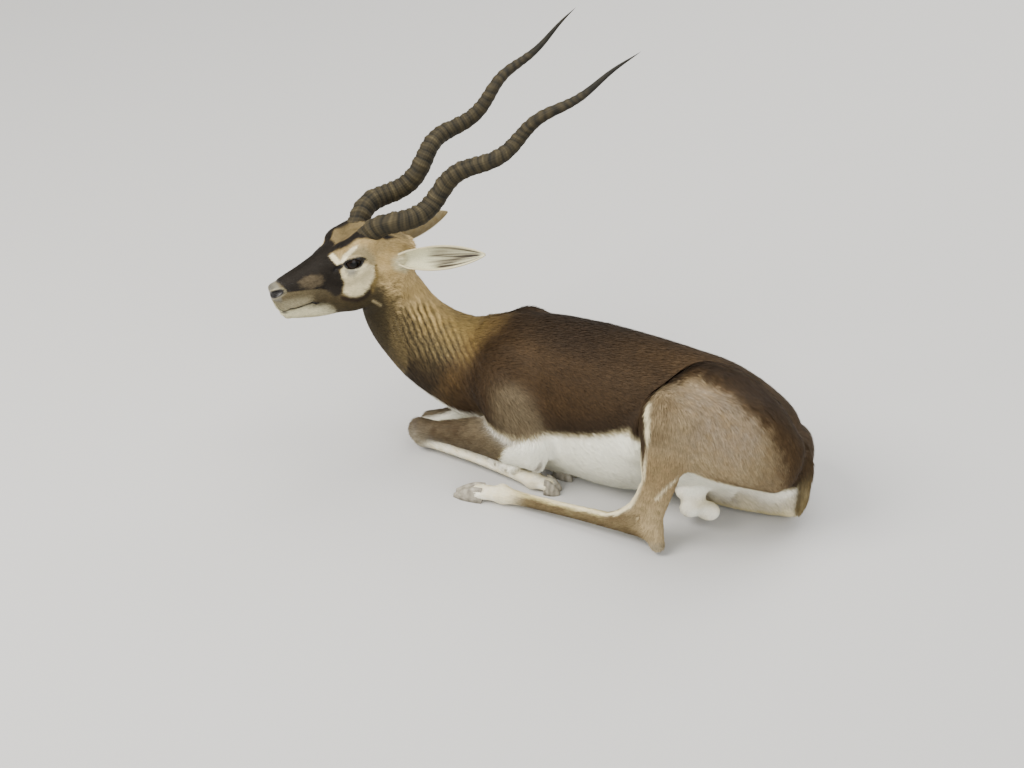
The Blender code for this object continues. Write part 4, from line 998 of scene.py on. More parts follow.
def farThighColours(places, normals):
    x, y, z = places.T
    return layered(
        places, "chocolate",
        (ramp(0.12, 0.05, z) * 0.5, "greyBrown"),
        (ramp(0.02, -0.01, y), "straw"),
        (ramp(0.10, 0.03, y) * ramp(0.10, 0.02, z), "white"))


def farShankColours(places, normals):
    x, y, z = places.T
    return layered(
        places, "gaskinTan",
        (ramp(0.03, 0.0, y), "straw"),
        (ramp(-0.2, -0.6, normals[:, 1]) * 0.8, "cream"))


def scrotumColours(places, normals):
    return layered(places, "white", (0.3 + 0.3 * mottle(places, 0.03, 103), "patch"))


def innerColours(places, normals):
    return layered(
        places, "lilac",
        (0.35 + 0.35 * mottle(places, 0.02, 101), "patch"),
        (ramp(0.030, 0.018, places[:, 2]) * 0.8, "straw"))


def tailColours(places, normals):
    return layered(
        places, "greyTan",
        (0.3 + 0.3 * mottle(places, 0.02, 102), "umber"),
        (ramp(0.070, 0.110, places[:, 2]) * 0.95, "chocolate"))


# Colours of the groups, by how their names start
colourOf = (
    ("trunk", trunkColours), ("fold", trunkColours), ("neck", neckColours), ("head", faceColours),
    ("shoulder", shoulderColours), ("arm", shoulderColours), ("forearm", forearmColours),
    ("cannonFore", foreCannonColours), ("foot", footColours), ("inner", innerColours), ("tail", tailColours),
    ("scrotum", scrotumColours), ("croup", thighColours), ("haunch", thighColours), ("web", gaskinColours),
    ("thighHindLeft", nearThighColours), ("gaskinHindLeft", gaskinColours),
    ("cannonHindLeft", hindCannonColours), ("thighHindRight", farThighColours),
    ("gaskinHindRight", farShankColours), ("cannonHindRight", farShankColours),
)


def coloursFor(name):
    return next(colours for start, colours in colourOf if name.startswith(start))


# Lie of the coat: how each group's axis is followed, or a fixed way in the world
lieOf = {
    "neck": -1.0, "thighHindLeft": (0.55, -0.20, -0.80), "croup": (0.80, -0.15, -0.55),
    "haunch": (0.75, -0.25, -0.60), "thighHindRight": (0.55, 0.25, -0.75), "fold": (0.5, 0.0, -0.8),
    "inner": (0.6, -0.2, -0.7), "scrotum": (0.3, -0.2, -0.9)}

# How fast a group's share falls off with distance
shareFalloff = 0.0045


def shareAt(away):
    return np.exp(-np.clip(away + 0.004, 0.0, 0.2) / shareFalloff)


def groupWeights(places):
    # How much each point belongs to each group of forms
    weights = {}
    for name, forms in groups.items():
        away = np.full(len(places), 0.2)
        for form in forms:
            near = nearBox(places, form.box())
            if near.any():
                away[near] = np.minimum(away[near], form.distance(places[near]))
        weights[name] = shareAt(away)
    back = toHead(places)[:, 0]
    weights["head"] = shareAt(headField(places)) * ramp(0.232, 0.212, back)
    weights["neck"] = weights["neck"] * ramp(0.196, 0.216, back) + 1e-9
    weights["trunk"] = weights["trunk"] * ramp(-0.085, -0.035, places[:, 0])
    weights["neck"] = weights["neck"] * ramp(0.0, -0.03, places[:, 0]) + 1e-9
    total = sum(weights.values())
    return {name: value / total for name, value in weights.items()}


def mixedOver(places, weights, valueOf):
    # The groups' values at each point, each by the group's share there
    out = np.zeros((len(places), 3))
    for name, weight in weights.items():
        near = weight > 0.002
        if near.any():
            out[near] += weight[near][:, None] * valueOf(name, near)
    return out


def coatAt(places, normals, weights):
    colours = mixedOver(places, weights, lambda name, near: coloursFor(name)(places[near], normals[near]))
    return np.clip(colours, 0.002, 0.95)


def lieAt(places, normals, weights):
    local = toHead(places)

    def flowOf(name, near):
        if name == "head":
            flow = axes[0] + np.sign(local[near, 1:2]) * 0.25 * axes[1] - 0.12 * axes[2]
        elif isinstance(lieOf.get(name), tuple):
            flow = np.tile(unit(np.array(lieOf[name])), (near.sum(), 1))
        else:
            flow = lieOf.get(name, 1.0) * groups[name][0].lie(places[near])
            if name in ("trunk", "neck"):
                flow = flow + np.array((0.0, 0.0, -0.45)) * (1.0 - np.abs(normals[near, 2:3]))
        return unit(flow)

    return unit(acrossNormal(mixedOver(places, weights, flowOf), normals))


def acrossNormal(way, normals):
    return way - (way * normals).sum(1, keepdims=True) * normals


def smoothedOver(mesh, values, rounds):
    # Averages a value over each point's neighbours
    ends = np.empty(len(mesh.edges) * 2, np.int32)
    mesh.edges.foreach_get("vertices", ends)
    first, second = ends.reshape(-1, 2).T
    count = np.bincount(first, minlength=len(values)) + np.bincount(second, minlength=len(values)) + 1.0
    for _ in range(rounds):
        total = values.copy()
        for column in range(values.shape[1]):
            total[:, column] += np.bincount(first, values[second, column], len(values))
            total[:, column] += np.bincount(second, values[first, column], len(values))
        values = total / count[:, None]
    return values


def storeValues(mesh, name, values, kind="FLOAT"):
    attribute = mesh.attributes.new(name, kind, "POINT")
    if kind == "FLOAT_COLOR":
        values = np.concatenate([values, np.ones((len(values), 1))], 1)
    key = {"FLOAT_VECTOR": "vector", "FLOAT_COLOR": "color"}.get(kind, "value")
    values = np.ascontiguousarray(values, np.int32 if kind == "INT" else np.float32)
    attribute.data.foreach_set(key, values.ravel())


# The coat: tufts per square metre, their length and width in metres, by part of the body
tuftSettings = dict(
    body=(470000, 0.0130, 0.00145), neck=(470000, 0.0120, 0.00135), leg=(560000, 0.0085, 0.00120),
    face=(1150000, 0.0052, 0.00085), fringe=(600000, 0.0200, 0.00150),
)
coatParts = ("headLeft", "neck", "nearFront", "nearRear", "farFront", "farRear", "forelegs", "nearHind",
             "farHind", "headRight")


def blendSettings(index, share):
    body = np.full(len(share["neck"]), tuftSettings["body"][index], float)
    for name, amount in share.items():
        body = body + (tuftSettings[name][index] - body) * amount
    return body


# How much shorter hair is at the eyes and nose, on the scrotum, on the neck's folds and at the floor, how much
# denser it is on the scrotum and the folds, and how far tufts stand off, more in the fringes and less elsewhere
hairSettings = dict(
    shortFace=0.45, shortScrotum=0.72, shortFold=0.60, shortFloor=0.5, denseScrotum=0.5, denseFold=0.7,
    earTuft=0.009, stand=0.15, fringeStand=0.12, flatFace=0.05, flatScrotum=0.06,
)

# Long fringes along the thigh's lower edge and the brisket
thighFringe = ((0.364, -0.149, 0.150), (0.406, -0.131, 0.126), (0.456, -0.088, 0.091), (0.480, -0.030, 0.060))
brisketFringe = ((-0.170, -0.050, 0.095), (-0.100, -0.060, 0.082), (-0.040, -0.069, 0.100))

# Where the front pieces of the coat end and the rear ones begin
coatSplit = 0.13


def coatPartAt(places, weights):
    number = coatParts.index
    front = places[:, 0] < coatSplit
    part = np.where(places[:, 1] < 0, np.where(front, number("nearFront"), number("nearRear")),
                    np.where(front, number("farFront"), number("farRear")))
    best = np.argmax(np.stack(list(weights.values())), axis=0)
    for index, name in enumerate(weights):
        if name in ("head", "neck"):
            part[best == index] = number("neck" if name == "neck" else "headLeft")
        elif name.startswith(("forearm", "cannonFore", "footFore")):
            part[best == index] = number("forelegs")
        elif name.endswith("HindLeft") or name == "inner":
            part[best == index] = number("nearHind")
        elif name.endswith("HindRight"):
            part[best == index] = number("farHind")
    part[(part == number("headLeft")) & (toHead(places)[:, 1] < 0.0)] = number("headRight")
    return part


def sumOf(weights, starts):
    return sum(value for name, value in weights.items() if name.startswith(starts))


def dressSkin(mesh):
    # Markings, lie, length and density of the coat, kept on the skin's points
    s = hairSettings
    places, normals = placesOf(mesh), normalsOf(mesh)
    weights = groupWeights(places)
    onHead, smooth = weights["head"], weights["scrotum"]
    local = toHead(places)
    back, side, high = local[:, 0], np.abs(local[:, 1]), local[:, 2]
    mirrored = np.stack([back, side, high], 1)
    colours = coatAt(places, normals, weights)
    lie = unit(acrossNormal(smoothedOver(mesh, lieAt(places, normals, weights), 6), normals))
    lowLeg = sumOf(weights, ("cannon", "foot", "web")) + 0.6 * sumOf(weights, ("forearm", "gaskin"))
    lowLeg = np.clip(lowLeg, 0, 1)
    face = onHead * ramp(0.215, 0.175, back)
    fringe = np.maximum(ramp(0.014, 0.006, lineDistance(places, thighFringe)),
                        0.7 * ramp(0.020, 0.008, lineDistance(places, brisketFringe)))
    share = dict(neck=weights["neck"], leg=lowLeg, fringe=fringe, face=face)
    thickness, length, width = (blendSettings(i, share) for i in range(3))
    # Short hair round the eyes, lips and nose, and none on the wet nose and lid margins
    eye = np.linalg.norm(local[:, [0, 2]] - (eyeCentre[0], eyeCentre[2]), axis=1)
    small = np.maximum(ramp(0.034, 0.022, eye) * (side > 0.012), ramp(0.045, 0.020, back)) * onHead
    strength, wave = rippleAt(places)
    earRoot = np.linalg.norm(mirrored - (0.206, 0.042, 0.010), axis=1)
    length = length * (1.0 - s["shortFace"] * small) * (1.0 - s["shortScrotum"] * smooth)
    length = length * (1.0 - s["shortFold"] * strength)
    length = length + s["earTuft"] * ramp(0.024, 0.012, earRoot) * onHead
    length = length * (1.0 - s["shortFloor"] * ramp(0.024, 0.010, places[:, 2]))
    lidAway = np.minimum(*(form.distance(mirrored) for form in lids))
    bare = np.maximum.reduce([
        ramp(0.0018, 0.0006, lidAway) * (eye < 0.022),
        ramp(0.0200, 0.0150, back - 0.1 * high) * (high > -0.016),
        ramp(0.004, 0.002, cuts[1].distance(mirrored)),
        ramp(0.0016, 0.0004, cuts[2].distance(mirrored)),
        ramp(0.010, 0.008, eye) * (side > 0.02)]) * (onHead > 0.5)
    touching = ramp(-0.15, -0.45, normals[:, 2]) * ramp(0.018, 0.009, places[:, 2])
    thickness = thickness * (1.0 + s["denseScrotum"] * smooth) * (1.0 + s["denseFold"] * strength)
    thickness = thickness * (1.0 - bare) * (1.0 - touching)
    grizzle = ramp(-0.020, 0.014, belowNeckLine(places)) * weights["neck"] * ramp(-0.06, -0.10, places[:, 0])
    grizzle = np.clip(grizzle + onHead * ramp(0.150, 0.175, back) * ramp(0.0, -0.03, high), 0.0, 1.0)
    stand = s["stand"] + s["fringeStand"] * fringe - s["flatFace"] * np.clip(face + lowLeg, 0, 1)
    stand = stand - s["flatScrotum"] * smooth
    lie[:, 2] = np.where(places[:, 2] < 0.020, np.maximum(lie[:, 2], 0.0), lie[:, 2])
    storeValues(mesh, "coat", colours, "FLOAT_COLOR")
    storeValues(mesh, "lie", lie, "FLOAT_VECTOR")
    storeValues(mesh, "part", coatPartAt(places, weights), "INT")
    for name, values in dict(thickness=thickness, tuftLength=length, tuftWidth=width, stand=stand, bare=bare,
                             grizzle=grizzle).items():
        storeValues(mesh, name, values)


def newPiece(name, mesh, finish):
    # A smooth piece, moved from the modelling axes to its place in the frame
    for polygon in mesh.polygons:
        polygon.use_smooth = True
    mesh.transform(Matrix.Translation((-footprintCentre[0], -footprintCentre[1], 0.0)))
    mesh.materials.clear()
    mesh.materials.append(finish)
    return newObject(name, mesh)


def setInputs(tree, node, inputs):
    # Links the sockets among the inputs, and sets the values
    for key, value in inputs.items():
        if isinstance(value, bpy.types.NodeSocket):
            tree.links.new(value, node.inputs[key])
        else:
            node.inputs[key].default_value = value


def newNode(tree, kind, inputs=None, **settings):
    node = tree.nodes.new(kind)
    for key, value in settings.items():
        setattr(node, key, value)
    setInputs(tree, node, inputs or {})
    return node


def newMaterial(name):
    made = bpy.data.materials.new(name)
    made.use_nodes = True
    return made, made.node_tree, made.node_tree.nodes["Principled BSDF"]


def objectPlace(tree):
    return newNode(tree, "ShaderNodeTexCoord").outputs["Object"]


def attributeOf(tree, name, output="Fac"):
    return newNode(tree, "ShaderNodeAttribute", attribute_type="GEOMETRY", attribute_name=name).outputs[output]


def noiseOf(tree, source, scale, detail=4.0, roughness=0.55):
    inputs = {"Vector": source, "Scale": scale, "Detail": detail, "Roughness": roughness}
    return newNode(tree, "ShaderNodeTexNoise", inputs).outputs["Fac"]


def rangeOf(tree, source, low, high, outLow, outHigh):
    inputs = {"Value": source, "From Min": low, "From Max": high, "To Min": outLow, "To Max": outHigh}
    return newNode(tree, "ShaderNodeMapRange", inputs).outputs["Result"]


def mathOf(tree, operation, a, b=0.0):
    return newNode(tree, "ShaderNodeMath", {0: a, 1: b}, operation=operation).outputs["Value"]


def scaledColour(tree, colour, amount):
    inputs = {0: colour, "Scale": amount}
    return newNode(tree, "ShaderNodeVectorMath", inputs, operation="SCALE").outputs["Vector"]


def addBump(tree, shader, height, strength, distance):
    inputs = {"Strength": strength, "Distance": distance, "Height": height}
    setInputs(tree, shader, {"Normal": newNode(tree, "ShaderNodeBump", inputs).outputs["Normal"]})


def colourRamp(tree, value, low, high, middle=None):
    node = newNode(tree, "ShaderNodeValToRGB", {"Fac": value})
    node.color_ramp.elements[0].color = (*low, 1.0)
    node.color_ramp.elements[1].color = (*high, 1.0)
    if middle:
        node.color_ramp.elements.new(0.50).color = (*middle, 1.0)
    return node.outputs["Color"]


def skinMaterial():
    made, tree, shader = newMaterial("hide")
    place = objectPlace(tree)
    coat, bare = attributeOf(tree, "coat", "Color"), attributeOf(tree, "bare")
    fine = noiseOf(tree, place, 900.0)
    grain = newNode(tree, "ShaderNodeTexVoronoi", {"Scale": 620.0, "Vector": place}).outputs["Distance"]
    setInputs(tree, shader, {
        "Base Color": scaledColour(tree, coat, rangeOf(tree, fine, 0.3, 0.7, 0.78, 1.12)),
        "Roughness": rangeOf(tree, bare, 0.2, 0.9, 0.72, 0.34)})
    height = mathOf(tree, "ADD", mathOf(tree, "MULTIPLY", fine, 0.6), mathOf(tree, "MULTIPLY", grain, bare))
    addBump(tree, shader, height, 0.5, 0.0006)
    return made


def coatMaterial():
    made, tree, shader = newMaterial("coatHair")
    coat = attributeOf(tree, "coat", "Color")
    tone, along, grizzle = (attributeOf(tree, name) for name in ("tone", "along", "grizzle"))
    clump = noiseOf(tree, objectPlace(tree), 160.0, 2.0)
    spread = rangeOf(tree, grizzle, 0.0, 1.0, 0.40, 1.30)
    amount = mathOf(tree, "ADD", mathOf(tree, "MULTIPLY", mathOf(tree, "SUBTRACT", tone, 0.48), spread), 1.0)
    amount = mathOf(tree, "MULTIPLY", amount, rangeOf(tree, along, 0.0, 1.0, 0.76, 1.12))
    amount = mathOf(tree, "MULTIPLY", amount, rangeOf(tree, clump, 0.3, 0.7, 0.90, 1.09))
    # White hair varies less from tuft to tuft than dark hair
    light = newNode(tree, "ShaderNodeRGBToBW", {0: coat}).outputs[0]
    calm = rangeOf(tree, light, 0.35, 0.80, 1.0, 0.35)
    amount = mathOf(tree, "ADD", mathOf(tree, "MULTIPLY", mathOf(tree, "SUBTRACT", amount, 1.0), calm), 1.0)
    setInputs(tree, shader, {
        "Base Color": scaledColour(tree, coat, amount), "Roughness": 0.68, "Specular IOR Level": 0.18})
    return made


# One tuft of hair: share along, half width, height, as parts of its length and width
tuftShape = ((0.0, 0.28, 0.0), (0.48, 0.50, 0.62), (1.0, 0.0, 1.0))


def tuftObject():
    edit = bmesh.new()
    rows = []
    for share, half, high in tuftShape:
        if half:
            rows.append([edit.verts.new((share, -half, high)), edit.verts.new((share, half, high))])
        else:
            rows.append([edit.verts.new((share, 0.0, high))])
    edit.faces.new((rows[0][0], rows[1][0], rows[1][1], rows[0][1]))
    edit.faces.new((rows[1][0], rows[2][0], rows[1][1]))
    bladePlace = edit.loops.layers.uv.new("bladePlace")
    for face in edit.faces:
        face.smooth = True
        for loop in face.loops:
            loop[bladePlace].uv = (loop.vert.co.x, loop.vert.co.y + 0.5)
    mesh = meshFrom(edit, "tuft")
    storeValues(mesh, "along", np.array([vert.co.x for vert in mesh.vertices]))
    return newObject("tuft", mesh)


def coatTree():
    # Scatters tufts over one part of the skin and lays them along its lie
    tree = bpy.data.node_groups.new("coatTufts", "GeometryNodeTree")
    for name, kind in (
            ("Geometry", "Geometry"), ("Part", "Int"), ("Tuft", "Object"), ("Unwrapped skin", "Object"),
            ("Disorder", "Float"), ("Seed", "Int"), ("Patch size", "Float"), ("Coat finish", "Material")):
        tree.interface.new_socket(name, in_out="INPUT", socket_type="NodeSocket" + kind)
    tree.interface.new_socket("Geometry", in_out="OUTPUT", socket_type="NodeSocketGeometry")
    given = tree.nodes.new("NodeGroupInput").outputs
    result = tree.nodes.new("NodeGroupOutput")

    def node(kind, output, inputs, **settings):
        return newNode(tree, kind, inputs, **settings).outputs[output]

    def named(name, kind="FLOAT"):
        return node("GeometryNodeInputNamedAttribute", "Attribute", {"Name": name}, data_type=kind)

    def scaled(a, scale):
        return node("ShaderNodeVectorMath", "Vector", {0: a, "Scale": scale}, operation="SCALE")

    def vector(operation, a, b):
        return node("ShaderNodeVectorMath", "Vector", {0: a, 1: b}, operation=operation)

    def times(a, b):
        return mathOf(tree, "MULTIPLY", a, b)

    def randomValue(low, high, offset, kind="FLOAT"):
        seed = mathOf(tree, "ADD", given["Seed"], offset)
        return node("FunctionNodeRandomValue", "Value", {"Min": low, "Max": high, "Seed": seed}, data_type=kind)

    def randomWay(offset):
        return randomValue((-1.0, -1.0, -1.0), (1.0, 1.0, 1.0), offset, "FLOAT_VECTOR")

    def store(geometry, name, kind, domain, value):
        inputs = {"Geometry": geometry, "Name": name, "Value": value}
        return node("GeometryNodeStoreNamedAttribute", "Geometry", inputs, data_type=kind, domain=domain)

    wanted = node("FunctionNodeCompare", "Result", {"A": named("part", "INT"), "B": given["Part"]},
                  data_type="INT", operation="EQUAL")
    scatter = newNode(tree, "GeometryNodeDistributePointsOnFaces", {
        "Mesh": given["Geometry"], "Selection": wanted, "Density": named("thickness"),
        "Seed": given["Seed"]}).outputs
    points = store(scatter["Points"], "tone", "FLOAT", "POINT", randomValue(0.0, 1.0, 5))
    unwrapped = node("GeometryNodeObjectInfo", "Geometry", {"Object": given["Unwrapped skin"]})
    root = node("GeometryNodeSampleNearestSurface", "Value",
                {"Mesh": unwrapped, "Value": named("unwrap", "FLOAT_VECTOR")}, data_type="FLOAT_VECTOR")
    points = store(points, "rootPlace", "FLOAT_VECTOR", "POINT", root)

    way = vector("ADD", named("lie", "FLOAT_VECTOR"), scaled(randomWay(7), given["Disorder"]))
    upward = vector("ADD", scatter["Normal"], scaled(randomWay(8), 0.10))
    turn = node("FunctionNodeAxesToRotation", "Rotation", {"Primary Axis": upward, "Secondary Axis": way})
    length = times(named("tuftLength"), randomValue(0.70, 1.25, 2))
    width = times(named("tuftWidth"), randomValue(0.75, 1.25, 3))
    high = times(times(length, named("stand")), randomValue(0.55, 1.30, 4))
    size = node("ShaderNodeCombineXYZ", "Vector", {"X": length, "Y": width, "Z": high})
    tuft = node("GeometryNodeObjectInfo", "Geometry", {"Object": given["Tuft"]})
    placed = node("GeometryNodeInstanceOnPoints", "Instances",
                  {"Points": points, "Instance": tuft, "Rotation": turn, "Scale": size})
    whole = node("GeometryNodeRealizeInstances", "Geometry", {"Geometry": placed})
    patch = vector("SUBTRACT", named("bladePlace", "FLOAT_VECTOR"), (0.5, 0.5, 0.0))
    patch = scaled(patch, given["Patch size"])
    spot = vector("ADD", named("rootPlace", "FLOAT_VECTOR"), patch)
    out = store(whole, "OFBake", "FLOAT2", "CORNER", spot)
    setInputs(tree, result, {"Geometry": node(
        "GeometryNodeSetMaterial", "Geometry", {"Geometry": out, "Material": given["Coat finish"]})})
    return tree


def unwrappedSkin(mesh):
    # A coarse copy of the skin, unwrapped, which the tufts' patches are read from
    coarse = newObject("unwrappedSkin", mesh.copy())
    thin = coarse.modifiers.new("thin", "DECIMATE")
    thin.ratio = coatSettings["coarse"]
    done = evaluated(coarse, "unwrappedSkin")
    coarse.modifiers.clear()
    coarse.data = done
    for layer in list(done.uv_layers):
        done.uv_layers.remove(layer)
    done.uv_layers.new(name="unwrap")
    bpy.ops.object.select_all(action="DESELECT")
    coarse.select_set(True)
    bpy.context.view_layer.objects.active = coarse
    bpy.ops.object.mode_set(mode="EDIT")
    bpy.ops.mesh.select_all(action="SELECT")
    bpy.ops.uv.smart_project(
        angle_limit=math.radians(coatSettings["unwrapAngle"]), island_margin=coatSettings["unwrapGap"])
    bpy.ops.object.mode_set(mode="OBJECT")
    return coarse


def dropValues(mesh, keep):
    for name in [a.name for a in mesh.attributes]:
        attribute = mesh.attributes.get(name)
        if attribute and not attribute.is_required and not attribute.is_internal and name not in keep:
            mesh.attributes.remove(attribute)


# The scatter's disorder and seed, the size of a tuft's patch on the bake map, and how its skin is unwrapped
coatSettings = dict(disorder=0.16, seed=7, patch=0.003, coarse=0.05, unwrapAngle=66.0, unwrapGap=0.004)
fleshNodes = ("head", "neck", "torso", "tail", "scrotum", "foreleg_left", "foreleg_right", "hindleg_left",
              "hindleg_right")


def makeCoat(skin, finish):
    tuft, tree = tuftObject(), coatTree()
    coarse = unwrappedSkin(skin.data)
    keys = {item.name: item.identifier for item in tree.interface.items_tree
            if getattr(item, "in_out", "") == "INPUT"}
    total = 0
    for index, name in enumerate(coatParts):
        holder = newObject("holder", skin.data.copy())
        modifier = holder.modifiers.new("tufts", "NODES")
        modifier.node_group = tree
        for key, value in (("Part", index), ("Tuft", tuft), ("Unwrapped skin", coarse),
                           ("Disorder", coatSettings["disorder"]), ("Seed", coatSettings["seed"] + index),
                           ("Patch size", coatSettings["patch"]), ("Coat finish", finish)):
            modifier[keys[key]] = value
        mesh = evaluated(holder, "coat_" + name)
        bpy.data.objects.remove(holder)
        dropValues(mesh, ("coat", "tone", "along", "grizzle", "OFBake"))
        piece = newObject("coat_" + name, mesh)
        mesh.materials.clear()
        mesh.materials.append(finish)
        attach(piece, "root")
        triangles = sum(len(polygon.vertices) - 2 for polygon in mesh.polygons)
        total += triangles
        print("coat", name, triangles)
    for helper in (tuft, coarse):
        bpy.data.objects.remove(helper)
    print("coat triangles", total)


def finishSkin(mesh):
    places, normals = placesOf(mesh), normalsOf(mesh)
    strength, wave = rippleAt(places)
    setPlaces(mesh, places + normals * (skinSettings["neckRipple"] * wave)[:, None])
    dressSkin(mesh)
    skin = newPiece("hide", mesh, skinMaterial())
    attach(skin, "root")
    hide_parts(*fleshNodes)
    return skin


# Eyes: the iris's share of the ball, the level pupil, the clear bulge before them and the colours
eyeSettings = dict(
    iris=0.80, pupilWide=0.62, pupilTall=0.30, bulge=0.0010, sunk=0.0012,
    pupilColour=(0.0022, 0.0018, 0.0018, 1.0), irisColour=(0.012, 0.006, 0.003, 1.0),
)


def eyeMaterial():
    made, tree, shader = newMaterial("eyeGloss")
    s = eyeSettings
    gaze = attributeOf(tree, "gaze", "Vector")
    x, y, z = newNode(tree, "ShaderNodeSeparateXYZ", {0: gaze}).outputs

    def away(across, high):
        squares = (mathOf(tree, "POWER", side, 2.0) for side in (across, high))
        return mathOf(tree, "SQRT", mathOf(tree, "ADD", *squares))

    pupil = away(mathOf(tree, "DIVIDE", x, s["pupilWide"]), mathOf(tree, "DIVIDE", z, s["pupilTall"]))
    ring = mathOf(tree, "MULTIPLY", rangeOf(tree, pupil, 0.85, 1.15, 0.0, 1.0),
                  rangeOf(tree, away(x, z), 1.0, 0.86, 0.0, 1.0))
    streaks = rangeOf(tree, noiseOf(tree, gaze, 14.0, 3.0), 0.3, 0.7, 0.5, 1.3)
    mix = newNode(tree, "ShaderNodeMix", {
        "A": s["pupilColour"], "B": s["irisColour"], "Factor": mathOf(tree, "MULTIPLY", ring, streaks)},
        data_type="RGBA")
    setInputs(tree, shader, {"Base Color": mix.outputs["Result"], "Roughness": 0.06, "Coat Weight": 0.03,
                             "Coat Roughness": 0.02, "Specular IOR Level": 0.16})
    return made


def makeEyes():
    s = eyeSettings
    finish = eyeMaterial()
    for side, sign in (("left", 1.0), ("right", -1.0)):
        edit = bmesh.new()
        bmesh.ops.create_uvsphere(edit, u_segments=64, v_segments=40, radius=1.0)
        gaze = []
        for vert in edit.verts:
            x, y, z = vert.co.x, vert.co.z, vert.co.y
            front = y > 0
            bulge = s["bulge"] * max(0.0, 1.0 - (math.hypot(x, z) / s["iris"]) ** 2) if front else 0.0
            gaze.append((x / s["iris"], y, z / s["iris"]) if front else (9.0, -1.0, 9.0))
            local = Vector(eyeCentre) + Vector((x, y, z)) * (eyeRadius - s["sunk"] + bulge)
            vert.co = Vector(fromHead((local.x, local.y * sign, local.z)))
        mesh = meshFrom(edit, "eye_" + side + "_ball", closed=True)
        storeValues(mesh, "gaze", np.array(gaze), "FLOAT_VECTOR")
        eye = newPiece("eyeball_" + side, mesh, finish)
        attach(eye, "root")
        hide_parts("eye_" + side)


hornSettings = dict(
    length=0.512, radius=0.0166, root=(0.1655, 0.0262, 0.0560), start=-0.03, turns=3.3, coil=0.0112, rings=32,
    ringedPart=0.82, flare=10.8, lean=62.5, firstAngle=154.0, sides=40, rowsPerRing=13, tipRows=40, ridge=0.080,
    groove=(0.007, 0.006, 0.003), middle=(0.043, 0.033, 0.015), crest=(0.120, 0.095, 0.046),
)


def hornMaterial():
    made, tree, shader = newMaterial("hornSheath")
    s = hornSettings
    ridge, along = attributeOf(tree, "ridge"), attributeOf(tree, "hornAlong")
    fibre = noiseOf(tree, attributeOf(tree, "hornChart", "Vector"), 1.0, 5.0, 0.6)
    blotch = noiseOf(tree, objectPlace(tree), 42.0, 3.0)
    value = mathOf(tree, "MULTIPLY", ridge, 0.62)
    value = mathOf(tree, "ADD", value, rangeOf(tree, fibre, 0.3, 0.7, -0.16, 0.22))
    value = mathOf(tree, "ADD", value, rangeOf(tree, blotch, 0.3, 0.7, -0.10, 0.12))
    value = mathOf(tree, "MULTIPLY", value, rangeOf(tree, along, 0.70, 0.95, 1.0, 0.62))
    setInputs(tree, shader, {
        "Base Color": colourRamp(tree, value, s["groove"], s["crest"], s["middle"]),
        "Roughness": rangeOf(tree, along, 0.6, 1.0, 0.72, 0.42), "Specular IOR Level": 0.25})
    addBump(tree, shader, fibre, 0.55, 0.0008)
    return made


def hornRows():
    # The spiral's points with their directions, and the height of the rings at every point round each
    s = hornSettings
    lean, flare, firstAngle = (math.radians(s[key]) for key in ("lean", "flare", "firstAngle"))
    axis = np.array((math.cos(flare) * math.sin(lean), math.sin(flare), math.cos(flare) * math.cos(lean)))
    out = unit(np.array((0.0, 1.0, 0.0)) - axis * axis[1])
    over = unit(np.cross(out, axis))
    over = over if over[2] > 0 else -over
    root = np.array(s["root"]) - (math.cos(firstAngle) * out + math.sin(firstAngle) * over) * s["coil"]
    shares = np.concatenate([
        np.linspace(s["start"], s["ringedPart"], s["rings"] * s["rowsPerRing"] + 1),
        np.linspace(s["ringedPart"], 0.9995, s["tipRows"])[1:]])
    phase = (shares - s["start"]) / (s["ringedPart"] - s["start"]) * s["rings"]
    # Rings stand unevenly, lean a little each its own way, and carry finer wrinkles between them
    angles = 2 * math.pi * np.arange(s["sides"]) / s["sides"]
    uneven = phase + 0.22 * np.sin(0.83 * phase) + 0.10 * np.sin(1.9 * phase + 1.0)
    leaning = uneven[:, None] + 0.13 * np.sin(angles + 0.9 * phase[:, None])
    leaning = leaning + 0.05 * np.sin(3 * angles + phase[:, None])
    ridge = (0.5 - 0.5 * np.cos(2 * math.pi * leaning)) ** 0.8
    ridge = ridge * (0.78 + 0.22 * np.sin(2.7 * phase + 0.5))[:, None]
    wrinkle = (0.5 - 0.5 * np.cos(6 * math.pi * leaning + 1.2)) * ramp(0.75, 0.45, shares)[:, None]
    ridge = (0.70 * ridge + 0.30 * wrinkle) * ramp(s["ringedPart"], s["ringedPart"] - 0.05, shares)[:, None]
    turn = firstAngle - 2 * math.pi * s["turns"] * shares
    coil = s["coil"] * (1.0 - np.maximum(shares, 0.0) ** 1.6)
    rows = (root + axis * s["length"] * shares[:, None]
            + coil[:, None] * (np.cos(turn)[:, None] * out + np.sin(turn)[:, None] * over))
    tangent = unit(np.gradient(rows, axis=0))
    across = unit(np.cross(tangent, over))
    return zip(shares, rows, across, np.cross(across, tangent), ridge)


